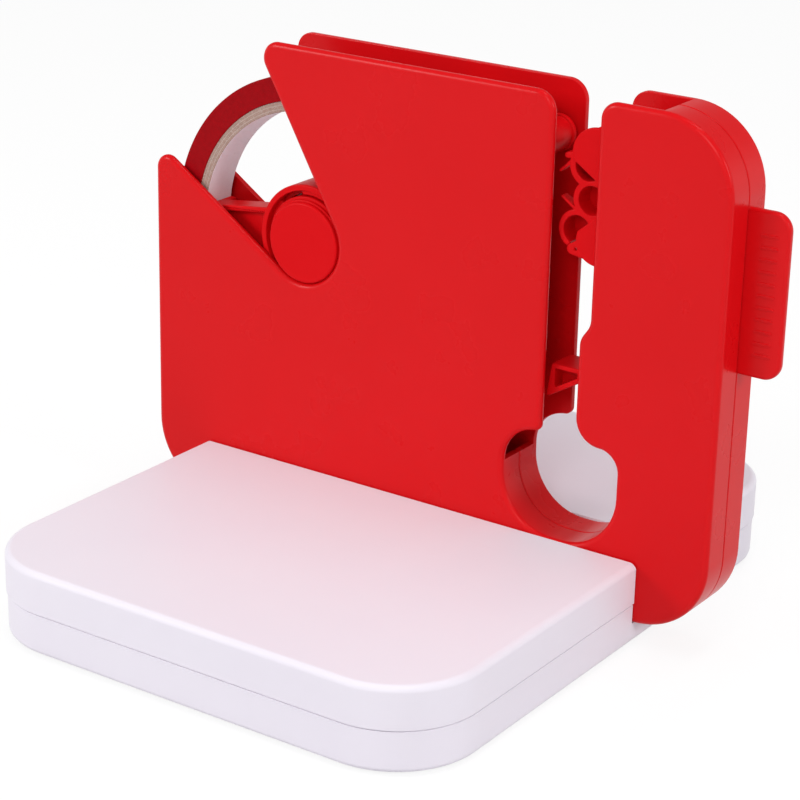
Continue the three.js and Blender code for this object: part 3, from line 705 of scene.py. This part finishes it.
def is_walled(x, z):
    """Whether the body has a rim wall at that place of its outline."""
    return z < HOLE_WALL_TOP or (x < 1 and z < LEFT_WALL_TOP) or x > TOP_WALL_START


def half_shell(face, seam, fillet):
    """A side plate with the rim walls that reach from it to the seam."""
    outline = with_points(rounded(body_outline(), 5), [
        (0, LEFT_WALL_TOP), (HOLE_LEFT, HOLE_WALL_TOP), (HOLE_RIGHT, HOLE_WALL_TOP),
        (TOP_WALL_START, BODY_TOP),
    ])
    n = len(outline)
    way = 1 if seam > face else -1
    depth = abs(seam - face)
    lip, edge = 0.35, 0.22  # soft inner edge of the plate and bevels along the seam

    # Chains run round the outline at an (inset, depth): the outer edge, then the plate's inner
    # edge, or the rim wall's outside, seam and inside.
    outer = [(d * fillet[0], t * fillet[1]) for d, t in arc(6, 1)] + [(0, PLATE - lip)]
    bare = [(0.3 * lip, PLATE - 0.3 * lip), (lip, PLATE)]
    wall = [(0, depth - edge), (edge, depth), (WALL - edge, depth), (WALL, depth - edge),
            (WALL, PLATE)]
    points = [
        (x, face + way * t, z) for d, t in outer + bare + wall for x, z in inset(outline, d)
    ]
    shared = list(range(len(outer)))
    bare_way = [len(outer) + k for k in range(len(bare))]
    wall_way = [len(outer) + len(bare) + k for k in range(len(wall))]

    def at(chain, i):
        return chain * n + i % n

    routes = [
        wall_way if is_walled((a[0] + b[0]) / 2, (a[1] + b[1]) / 2) else bare_way
        for a, b in zip(outline, outline[1:] + outline[:1])
    ]
    faces, inner = [[at(0, i) for i in range(n)]], []
    for i in range(n):
        route = shared + routes[i]
        for a, b in zip(route, route[1:]):
            faces.append([at(a, i), at(a, i + 1), at(b, i + 1), at(b, i)])
        if routes[i] is not routes[i - 1]:
            wall_end = [shared[-1], *wall_way, *reversed(bare_way)]
            faces.append([at(chain, i) for chain in wall_end])
            inner.append(at(routes[i - 1][-1], i))
        inner.append(at(route[-1], i))
    faces.append(inner[::-1])
    used = sorted({i for f in faces for i in f})
    new = {old: k for k, old in enumerate(used)}
    return Build().add([points[i] for i in used], [[new[i] for i in f] for f in faces])


def bosses(build, root, seam):
    """Screw bosses, pin spacers and the spring's shelf on the inside of a plate."""
    toward = 1 if seam > root else -1
    tall = sorted((root - OVERLAP * toward, seam))
    low = sorted((root - OVERLAP * toward, root + toward))
    for x, z in map(middle, SHELL_SCREWS):
        build.ring(SCREW_BORE, BOSS, *tall, x, z, 0.2, 40)
    for x, z in (ROLLER, STAR, PIVOT):
        build.ring(SCREW_BORE, SPACER, *low, x, z, 0.2, 40)
    x, reach = SPRING[0], 4.6
    shelf = rectangle(x - reach, SHELF_TOP - 2, x + reach, SHELF_TOP, 0.4)
    return build.slab(shelf, *tall, 0.2)


def finger_tab(build):
    """The tab on the rear shell's right side, with grip ribs on its front face."""
    shape = rectangle(BODY_RIGHT - 1, TAB_LOW, TAB_RIGHT, TAB_HIGH, (0, 0, 5, 5), 5)
    build.slab(shape, REAR_SEAM, REAR_SEAM + 2.5, 0.9, steps=4)
    ribs, pitch, reach, half, height = 11, 3.3, 2.6, 0.45, 0.22
    x = (BODY_RIGHT + TAB_RIGHT) / 2 + 0.4
    for k in range(ribs):
        z = (TAB_LOW + TAB_HIGH) / 2 + (k - ribs // 2) * pitch
        rib = rectangle(x - reach, z - half, x + reach, z + half, 0.44, 20)
        build.slab(rib, REAR_SEAM - height, REAR_SEAM + OVERLAP, 0.2)
    return build


def well(radius, depth, bevel, flare, beyond):
    """(radius, depth) points of a round well with a bevelled rim, from its floor outwards."""
    wide = radius + flare
    return [(0, depth), (radius, depth), (radius, bevel), (wide, bevel - flare),
            (wide, -beyond), (0, -beyond)]


def rear_shell():
    wells = Build()
    profile = [(r, BODY_BACK - d) for r, d in well(HEAD_WELL, HEAD_DEPTH, 0.3, 0.4, 1)]
    for x, z in map(middle, SHELL_SCREWS):
        wells.turned(profile, x, z, 48)
    shell = cut(half_shell(BODY_BACK, REAR_SEAM, REAR_FILLET), wells, "rear_half")
    inner = finger_tab(bosses(Build(), BODY_BACK - PLATE, REAR_SEAM))
    return merged(shell, inner.mesh("rear_inner"))


front = bosses(half_shell(0, FRONT_SEAM, FRONT_FILLET), PLATE, FRONT_SEAM)
piece("body_front", front, "dispenser", "front_shell", "red_plastic", RED)
piece("body_rear", rear_shell(), "dispenser", "rear_shell", "red_plastic", RED)


# ------ base

BASE_LEFT, BASE_RIGHT = (corner.x for corner in own_box("base_cover_front"))
BASE_CORNER, BASE_WALL = 25.0, 2.2
TOP_FILLET, CHANNEL_FILLET = 1.9, 0.35
POST_BORE = 1.7  # of the posts that take the base screws
ABOVE = 20  # a height above the tray, for cutters that are open upwards


def plan(shrink, front, back, front_corner, back_corner):
    """A rounded rectangle in X and Y."""
    radii = (front_corner, back_corner, back_corner, front_corner)
    return rectangle(BASE_LEFT + shrink, front, BASE_RIGHT - shrink, back, radii, 4)


def add_posts(build, outer, z0, z1, front, back):
    """Posts round those base screws that stand between front and back."""
    for x, y in (middle(name, "xy") for name in BASE_SCREWS):
        if front < y < back:
            build.upright(rectangle(POST_BORE, z0, outer, z1, 0.2), x, y, 32, True)
    return build


def cover(node, front_round, back_round):
    """A hollow cover with a soft top edge outside, a crisp one along the channel, and posts."""
    low, high = own_box(node)
    z0, z1 = TRAY_HIGH.z + GAP, high.z
    ceiling = z1 - BASE_WALL
    rows = [(d, d, z) for d, z in (
        (BASE_WALL + 1, ceiling), (BASE_WALL, ceiling - 1), (BASE_WALL, z0 + 0.2),
        (BASE_WALL - 0.2, z0), (0.25, z0), (0, z0 + 0.25),
    )]
    rows += [(d, min(d, CHANNEL_FILLET), z1 - t) for d, t in arc(8, TOP_FILLET)][::-1]
    rings = []
    for d, crisp, z in rows:
        front = low.y + (d if front_round else crisp)
        back = high.y - (d if back_round else crisp)
        corner = BASE_CORNER - d
        rings.append(level(plan(d, front, back, corner * front_round, corner * back_round), z))
    return add_posts(Build().rings(rings), 4, low.z, ceiling + 0.5, low.y, high.y)


def tray():
    """The lower half of the base, with the channel, the wells and the soft lower edge."""
    step = TRAY_LOW.x - BASE_LEFT
    front, back = TRAY_LOW.y, TRAY_HIGH.y
    rows = [(d, TRAY_LOW.z + t) for d, t in arc(6, 1.6)]
    rows += [(d, TRAY_HIGH.z - t) for d, t in arc(3, 0.3)][::-1]
    rings = [
        level(plan(step + d, front + d, back - d, BASE_CORNER - d, BASE_CORNER - d), z)
        for d, z in rows
    ]
    channel_front, channel_back, channel_floor = -GAP, BODY_BACK + GAP, 6
    tools = Build().block(
        rectangle(BASE_LEFT - 5, channel_front, BASE_RIGHT + 5, channel_back, 0),
        channel_floor, ABOVE)
    margin, wall, thick = 2.5, 1.9, 2.2  # round and above the hollow under the channel
    tools.block(
        rectangle(BASE_LEFT + margin, wall, BASE_RIGHT - margin, BODY_BACK - wall, 1.5, 20),
        -4, channel_floor - thick)
    by, corner = step + BASE_WALL, BASE_CORNER - BASE_WALL
    for start, end, first, last in (
        (front, channel_front, corner, 1), (channel_back, back, 1, corner),
    ):
        hollow = plan(by, start + BASE_WALL, end - BASE_WALL, first, last)
        tools.block(hollow, BASE_WALL, ABOVE)
    for names, profile in (
        (BASE_SCREWS, well(HEAD_WELL, HEAD_DEPTH, 0.35, 0.5, 2)),
        (FEET, well(6.8, 1.1, 0.3, 0.4, 2)),
    ):
        for name in names:
            tools.upright(profile, *middle(name, "xy"))
    posts = add_posts(Build(), 5, BASE_WALL - 0.5, 5, front, back)
    return merged(cut(Build().rings(rings), tools, "tray"), posts.mesh("tray_posts"))


def foot(node):
    """A round foot with a shallow hollow in its underside."""
    low, high = own_box(node)
    hollow = low.z + 0.25
    profile = rounded([
        (0, hollow, 0), (4.6, hollow, 0.2), (4.9, low.z, 0.2), (6.5, low.z, 0.4),
        (6.5, high.z, 0.2), (0, high.z, 0),
    ], 30, False)
    return Build().upright(profile, *middle(node, "xy"))


for name, node, front_round in (
    ("base_front", "base_cover_front", True), ("base_rear", "base_cover_rear", False),
):
    shell = cover(node, front_round, not front_round)
    piece(name, shell, "stand", node, "white_plastic", WHITE)
piece("base_lower", tray(), "stand", "base_tray", "white_plastic", WHITE)
for i, node in enumerate(FEET, 1):
    piece(f"foot_{i}", foot(node), "stand", node, "foot_rubber", RUBBER)


# ------ screws and pins

def pan_head(length):
    """A pan-head screw along +Z from the head's outer face at 0, and its cross recess."""
    head, shank, arm, half = 2.8, 1.5, 1, 0.17
    profile = rounded([
        (0, 0, 0), (1.9, 0, 1.2), (head, 0.8, 0.4), (head, 1.4, 0.1), (shank, 1.4, 0.1),
        (shank, length - 1, 0.2), (0.6, length, 0),
    ], 20, False)
    plus = []
    for turn in range(4):
        plus += spun([(arm, -half), (arm, half), (half, half)], 90 * turn)
    cross = [[(x * size, y * size, z) for x, y in plus] for size, z in ((0.9, 0.9), (1.75, -0.2))]
    return Build().upright(profile + [(0, length)], 0, 0, 32), Build().rings(cross)


def screws(nodes, kind, name, body, tilt, step):
    """Copies of one screw for the CAD's, with heads facing down, or the rear if tilted."""
    low, high = own_box(nodes[0])
    data = cut(*pan_head(high.y - low.y if tilt else high.z - low.z), kind)
    data.materials.append(STEEL)
    for i, node in enumerate(nodes, 1):
        low, high = own_box(node)
        x, y, z = (low + high) / 2
        head = in_row(x, high.y, z) if tilt else in_row(x, y, low.z)
        turn = rotation(tilt, "X") @ Matrix.Rotation(step * i, 4, "Z")
        stand_in(f"{name}_{i}", data, body, node,
                 Matrix.Translation(head) @ turn @ Matrix.Translation(-ORIGIN))


screws(SHELL_SCREWS, "shell_screw", "body_screw", "dispenser", 90, 0.7)
screws(BASE_SCREWS, "base_screw", "stand_screw", "stand", 0, 0.9)

for node in ("roller_pin", "star_wheel_pin", "arm_pin"):
    low, high = own_box(node)
    pin = Build().turned(rounded([
        (0, low.y, 0), (PIN_RADIUS, low.y, 0.35), (PIN_RADIUS, high.y, 0.35), (0, high.y, 0),
    ], 30, False), *middle(node), 32)
    piece(node + "_turned", pin, "dispenser", node, "steel", STEEL)


# ------ axle, spool and tape

END_RADIUS, STEP_RADIUS, AXLE_RADIUS, AXLE_HOLLOW = 12.1, 12.6, 13.4, 9.6
HUB_BORE, HUB_RECESS, HUB_RADIUS = 13.7, 15.05, 16.9
CORE_BORE, CORE_RADIUS, TAPE_BORE, TAPE_RADIUS = 38.2, 41.2, 41.3, 48.6


def axle():
    profile = rounded([
        (0, 0, 0), (END_RADIUS, 0, 0.75), (END_RADIUS, 1.35, 0.08), (STEP_RADIUS, 1.4, 0.35),
        (STEP_RADIUS, REEL_FRONT - 0.05, 0.08), (AXLE_RADIUS, REEL_FRONT, 0.35),
        (AXLE_RADIUS, REEL_BACK, 0.35), (END_RADIUS, REEL_BACK + 0.05, 0.15),
        (END_RADIUS, BODY_BACK, 0.5), (AXLE_HOLLOW + 0.1, BODY_BACK, 0.5),
        (AXLE_HOLLOW, 3, 1.2), (0, 3, 0),
    ], 12, False)
    return Build().turned(profile, *AXLE, 128)


def spoke(degrees):
    """A web between two flanges, with a curved pad at its end."""
    half, flange, end = 9.2, 1.7, 36.9
    part = Build().slab(rectangle(15.3, 0.8 - half, end, half - 0.8, 0), 5.9, 7.5, 0)
    for low, high in ((half - flange, half), (-half, flange - half)):
        bar = [(14.2, low, 0.2), (end, low, 0.2), (end, high, 0.2), (14.2, high, 0.2)]
        part.slab(rounded(bar, 30), 3.2, 10.2, 0.35)
    pad = sweep(0, 0, 37.9, -14, 14, 2) + sweep(0, 0, 36.0, 14, -14, 2)
    return part.slab(pad, 2.8, 14.8, 0.3).moved(degrees, *AXLE)


def spool():
    hub = rounded([
        (HUB_RECESS, REEL_FRONT, 0.3), (HUB_RADIUS, REEL_FRONT, 0.55),
        (HUB_RADIUS, REEL_BACK, 0.5), (15.2, REEL_BACK, 0.3), (15.2, 14.5, 0.2),
        (HUB_BORE, 14.5, 0.2), (HUB_BORE, 12.8, 0.2), (HUB_RECESS, 12.8, 0.2),
    ], 15)
    build = Build().turned(hub, *AXLE, 128, True)
    for start, end, depth in ((98, 140, 6.0), (138, 260, 4.6), (258, 460, 3.1)):
        step = sweep(0, 0, HUB_RECESS + 0.1, start, end)
        step += sweep(0, 0, HUB_BORE + 0.05, end, start)
        build.join(Build().slab(step, depth, 13.0, 0.25).moved(0, *AXLE))
    return build.join(spoke(187.5)).join(spoke(7.5))


def tube(node, bore, radius, soft, sides):
    low, high = own_box(node)
    return Build().ring(bore, radius, low.y, high.y, *AXLE, soft, sides)


def tape_core():
    """A tube of bare board at its rims, lined with paper inside and out."""
    data = tube("tape_core", CORE_BORE, CORE_RADIUS, 0.2, 160).mesh("core")
    for face in data.polygons:
        face.material_index = 0 if abs(face.normal.y) > 0.5 else 1
    return data


piece("axle_turned", axle(), "axle", "spool_axle", "red_plastic", RED_INNER)
piece("spool_moulded", spool(), "reel", "spool", "red_plastic", RED_INNER)
piece("core_wound", tape_core(), "reel", "tape_core", "core_board", BOARD, PAPER)
roll = tube("tape_roll", TAPE_BORE, TAPE_RADIUS, 0.18, 192)
piece("tape_wound", roll, "reel", "tape_roll", "tape_film", TAPE)


# ------ roller and star wheel

# Each cup is (distance from the wheel's axis, direction in degrees, outer radius).
INNER_CUP, MIDDLE_CUP, OUTER_CUP = (17.1, 14, 5.9), (13.7, 47, 5.8), (20.5, 71.6, 5.75)
HOLLOW, FAR_HOLLOW = 4.05, 3.4  # radii of the cups' hollows
WHEEL_HUB, WEB_RADIUS = 5, 15
WHEEL_REST = 138  # the wheel's turn at rest, in degrees


def roller():
    """A crowned drum between two low flanges."""
    low, high = own_box("guide_roller")
    flange = (high.x - low.x) / 2
    drum, crown = flange - 0.6, flange - 0.35
    profile = rounded([
        (PIN_BORE, TURN_FRONT, 0.15), (flange, TURN_FRONT, 0.5), (flange, 4.9, 0.25),
        (drum, 5.0, 0.2), (crown, MID_Y, 8), (drum, 14.0, 0.2), (flange, 14.1, 0.25),
        (flange, TURN_BACK, 0.5), (PIN_BORE, TURN_BACK, 0.15),
    ], 15)
    return Build().turned(profile, *ROLLER, 64, True)


def cup_centre(cup, side=1):
    return polar(cup[0], side * cup[1])


def by_cup(cup, distance, degrees):
    return polar(distance, degrees, cup_centre(cup))


def petal(reach, radius):
    """A round-ended petal along +X, whose straight sides widen outwards."""
    root, widening = 3.3, 0.15
    points = [(0, -root)]
    for x, z in sweep(reach, 0, radius, -100, 100, 5):
        half = root + widening * x
        points.append((x, max(-half, min(half, z))))
    return points + [(0, root)]


def petals():
    """The front discs: two plain petals and two tailed ones, with a pinhole in each tail."""
    tail = capsule((24.3, -3.7), 1.6, (20.6, -1.0), 3.2)
    shapes = [petal(17.4, 7.3)] + [spun(p, 90) for p in (petal(16.8, 6.7), tail)]
    pinhole = spun(circle(23.4, -2.9, 0.4, 16), 90)
    shapes += [spun(p, 180) for p in shapes]
    return shapes, [pinhole, spun(pinhole, 180)]


def cup_walls():
    """Cups and a knob of half the wheel; neighbouring cups share a thick wall."""
    shapes = [
        circle(*cup_centre(INNER_CUP), INNER_CUP[2]),
        circle(*cup_centre(MIDDLE_CUP), MIDDLE_CUP[2]),
        band(*cup_centre(OUTER_CUP), HOLLOW - 0.3, OUTER_CUP[2], -140, 93),
        capsule(by_cup(INNER_CUP, 4.8, 11), 0.8, by_cup(INNER_CUP, 7.1, 25), 0.8),
    ]
    holes = [circle(*cup_centre(cup), HOLLOW) for cup in (INNER_CUP, MIDDLE_CUP)]
    holes.append(circle(*cup_centre(OUTER_CUP), HOLLOW + 0.1))
    return shapes, holes


def far_cups():
    """The two cups on the other side of the plain petal."""
    cups = [(cup_centre(cup, -1), cup[2]) for cup in (INNER_CUP, MIDDLE_CUP)]
    return ([circle(*centre, outer) for centre, outer in cups],
            [circle(*centre, FAR_HOLLOW) for centre, _ in cups])


def fins():
    """Two short fins outside the cups."""
    return [
        capsule(by_cup(INNER_CUP, 5, 30.5), 0.6, by_cup(INNER_CUP, 9.2, 58), 0.32),
        capsule(by_cup(MIDDLE_CUP, 5.6, 84), 0.5, by_cup(MIDDLE_CUP, 9.3, 44), 0.32),
    ]


def star_wheel():
    """Front discs, cups on both halves, fins, and a web that joins them all to the hub."""
    front = TURN_FRONT
    bore, hub = circle(0, 0, PIN_BORE, 32), circle(0, 0, WHEEL_HUB)
    shapes, pinholes = petals()
    build = Build().sheet(united(shapes + [hub], pinholes + [bore]), front, front + 1.5, 0.4)
    build.sheet(united([hub], [bore]), front + 0.3, TURN_BACK, 0.2)
    web, wider = [circle(0, 0, WEB_RADIUS, 96)], 1.03
    for half in (0, 180):
        for shapes, holes in (cup_walls(), far_cups()):
            part = Build().sheet(united(shapes, holes), front + 0.25, TURN_BACK, 0.3)
            build.join(part.moved(half))
            web += [spun([(x * wider, z * wider) for x, z in hole], half) for hole in holes]
        for fin in fins():
            build.join(Build().slab(fin, front + 0.4, front + 3.2, 0.2).moved(half))
    build.sheet(united(web, [bore]), MID_Y, MID_Y + 1.4, 0.2)
    return build.moved(WHEEL_REST, *STAR)


piece("roller_turned", roller(), "roller", "guide_roller", "red_plastic", RED_INNER)
piece("wheel_moulded", star_wheel(), "wheel", "star_wheel", "red_plastic", RED_INNER)


# ------ arm, spring and cutter

ARM_TOP, ARM_LEFT = 74.6, 138.1
ARM_FRONT, ARM_BACK = 4.5, 14.5
NOSE_BOTTOM, BEAM_BOTTOM = ARM_TOP - 10.4, ARM_TOP - 3
NOSE_LEFT, NOSE_RIGHT = ARM_LEFT - 1.7, ARM_LEFT + 10.8
SLIT_PLAY = 0.1  # round the blade in its holder


def press_arm():
    slope = (BEAM_BOTTOM - NOSE_BOTTOM) / (NOSE_RIGHT - NOSE_LEFT)
    floor, roof, web = 1.7, 1.2, 0.5  # thickness below, above and half of the middle

    def pocket_floor(x):
        return NOSE_BOTTOM + floor + (x - NOSE_LEFT) * slope

    outline = rounded([
        (NOSE_LEFT, NOSE_BOTTOM, 0.7), (ARM_LEFT, ARM_TOP, 0.7), (PIVOT[0], ARM_TOP, 0),
        (PIVOT[0], BEAM_BOTTOM, 0), (NOSE_RIGHT, BEAM_BOTTOM, 1.5),
    ], 20)
    left, right, top = ARM_LEFT + 1.2, ARM_LEFT + 8.4, ARM_TOP - roof
    pocket = rounded([
        (left, pocket_floor(left), 0.3), (left, top, 0.3), (right, top, 0.3),
        (right, pocket_floor(right), 0.3),
    ], 30)
    pockets = Build().slab(pocket, ARM_FRONT - 1, MID_Y - web, 0)
    pockets.slab(pocket, MID_Y + web, ARM_BACK + 1, 0)
    nose = cut(Build().slab(outline, ARM_FRONT, ARM_BACK, 0.4), pockets, "arm_nose")
    hub = Build().ring(PIN_BORE, 4.5, TURN_FRONT, TURN_BACK, *PIVOT, 0.35, 48)
    return merged(nose, hub.mesh("arm_hub"))


def arm_spring():
    """A compression spring with closed ends."""
    low, high = own_box("arm_spring")
    wire, radius = 0.35, 2.6
    bottom, top = low.z + wire, high.z - wire
    turns, per_turn, around = 6.5, 28, 8
    end_rise = 0.055  # share of the height that each closed end turn takes
    open_turns = turns - 2
    rings = []
    for k in range(int(turns * per_turn) + 1):
        t = k / per_turn
        opened = max(0, min(t - 1, open_turns)) / open_turns
        rise = end_rise * (min(t, 1) + max(0, t - turns + 1)) + (1 - 2 * end_rise) * opened
        a = 2 * math.pi * t
        out = Vector((math.cos(a), math.sin(a), 0))
        centre = Vector((SPRING[0], MID_Y, bottom + (top - bottom) * rise)) + out * radius
        rings.append([
            tuple(centre + out * wire * math.cos(b) + Vector((0, 0, wire * math.sin(b))))
            for b in full_turn(around)
        ])
    return Build().rings(rings)


def blade_holder():
    low, high = own_box("blade_holder")
    blade_low, blade_high = own_box("cutter_blade")
    grip = Build().slab(
        rectangle(low.x, low.z, high.x, high.z, (0.5, 0.8, 0.8, 0.5), 20), low.y, high.y, 0.35)
    slit = rectangle(low.x - 2, blade_low.z - SLIT_PLAY,
                     blade_high.x + SLIT_PLAY, blade_high.z + SLIT_PLAY, 0)
    tool = Build().slab(slit, blade_low.y - SLIT_PLAY, blade_high.y + SLIT_PLAY, 0)
    return cut(grip, tool, "holder")


def cutter_blade():
    """A saw-toothed strip whose teeth are ground thin on the upper side."""
    low, high = own_box("cutter_blade")
    teeth, depth, grind, edge = 8, 0.9, 1.1, 0.08
    pitch = (high.y - low.y) / teeth
    front = []
    for i in range(teeth):
        front += [(low.x + depth, low.y + i * pitch), (low.x, low.y + (i + 0.5) * pitch)]
    front.append((low.x + depth, high.y))
    outline = front + [(high.x, high.y), (high.x, low.y)]
    ground = [(x + grind if x < high.x - 1 else x, y) for x, y in outline]
    return Build().rings(
        [level(outline, low.z), level(outline, low.z + edge), level(ground, high.z)])


piece("arm_moulded", press_arm(), "arm", "press_arm", "red_plastic", RED_INNER)
coil = piece("spring_coil", arm_spring(), "dispenser", "arm_spring", "steel", STEEL)
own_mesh(coil)
piece("holder_moulded", blade_holder(), "dispenser", "blade_holder", "red_plastic", RED)
piece("blade_ground", cutter_blade(), "dispenser", "cutter_blade", "blade_steel", BLADE)


# ------ stage, light and camera

FLOOR_REACH = 6.0  # metres from the middle to the floor's edges
LAMPS = (  # name, place, what it points at, watts, width, height
    ("left", (-0.84, -0.95, 0.58), (0, 0, 0.06), 5.6, 0.34, 0.34),
    ("fill", (0.36, -1.02, 0.7), (0, 0, 0.05), 2.8, 0.36, 0.36),
    ("right", (1.15, -0.10, 0.60), (0.03, 0, 0.07), 4.2, 0.3, 0.3),
    ("top", (0.26, -0.02, 1.25), (0.05, 0, 0.05), 2.8, 1.1, 0.16),
)
# The camera, solved from the photo's straight edges: degrees, metres from its target, and
# millimetres.
AZIMUTH, ELEVATION, ROLL = 34.25, 20.69, 1.30
DISTANCE, LENS = 0.70916, 110.53
TARGET = (90.64, 0, 54.0)


def looked_at(tree):
    """1 for rays that see the surroundings directly, in a mirror or through glass, else 0."""
    path = new_node(tree.nodes, "LightPath")
    seen = path.outputs["Is Camera Ray"]
    for kind in ("Is Glossy Ray", "Is Transmission Ray"):
        seen = computed(tree, "Math", "MAXIMUM", seen, path.outputs[kind])
    return seen


def floor():
    """A pale floor that is seen nearly white, with the object's shadow on it."""
    r = FLOOR_REACH
    data = bpy.data.meshes.new("floor")
    data.from_pydata([(-r, -r, 0), (r, -r, 0), (r, r, 0), (-r, r, 0)], [], [(0, 1, 2, 3)])
    finish = Finish("floor_paper", (0.6, 0.6, 0.61, 1), 0.9)
    nodes, links = finish.nodes, finish.links
    seen = looked_at(finish.tree)
    finish.tint(seen, (0.9, 0.9, 0.9, 1))
    glow = new_node(nodes, "Emission", Strength=1.05)
    share = computed(finish.tree, "Math", "MULTIPLY", seen, 0.8)
    mix = new_node(nodes, "MixShader")
    for socket, source in zip(mix.inputs, (share, finish.shader.outputs[0], glow.outputs[0])):
        links.new(source, socket)
    links.new(mix.outputs["Shader"], nodes["Material Output"].inputs["Surface"])
    data.materials.append(finish.material)
    linked("floor", data)


def world():
    """A studio that is white round the horizon and dimmer above, and dimmer still as light."""
    sky = bpy.data.worlds.new("studio")
    sky.use_nodes = True
    nodes, links = sky.node_tree.nodes, sky.node_tree.links
    background = with_inputs(nodes["Background"], Color=(1, 1, 1, 1))
    split = new_node(nodes, "SeparateXYZ")
    links.new(new_node(nodes, "TexCoord").outputs["Generated"], split.inputs[0])
    height = new_node(nodes, "MapRange", From_Min=0.08, From_Max=0.4, To_Min=1.0, To_Max=0.25)
    links.new(split.outputs["Z"], height.inputs["Value"])
    strength = new_node(nodes, "MapRange", To_Min=0.55)
    links.new(height.outputs["Result"], strength.inputs["To Max"])
    links.new(looked_at(sky.node_tree), strength.inputs["Value"])
    links.new(strength.outputs["Result"], background.inputs["Strength"])
    bpy.context.scene.world = sky


def lamp(name, place, target, power, width, height):
    data = bpy.data.lights.new(name, "AREA")
    data.shape = "RECTANGLE"
    data.size, data.size_y = width, height
    data.energy = power
    thing = linked(name, data)
    thing.location = place
    thing.rotation_mode = "QUATERNION"
    thing.rotation_quaternion = (Vector(target) - Vector(place)).to_track_quat("-Z", "Y")


def camera():
    data = bpy.data.cameras.new("camera")
    data.sensor_width, data.lens = 36, LENS
    data.clip_start, data.clip_end = 0.01, 50
    thing = linked("camera", data)
    thing.matrix_world = (
        Matrix.Translation(in_row(*TARGET)) @ rotation(AZIMUTH, "Z")
        @ rotation(90 - ELEVATION, "X") @ rotation(ROLL, "Z")
        @ Matrix.Translation((0, 0, DISTANCE)))
    bpy.context.scene.camera = thing


floor()
world()
for settings in LAMPS:
    lamp(*settings)
camera()
bpy.context.scene.view_settings.view_transform = "Standard"
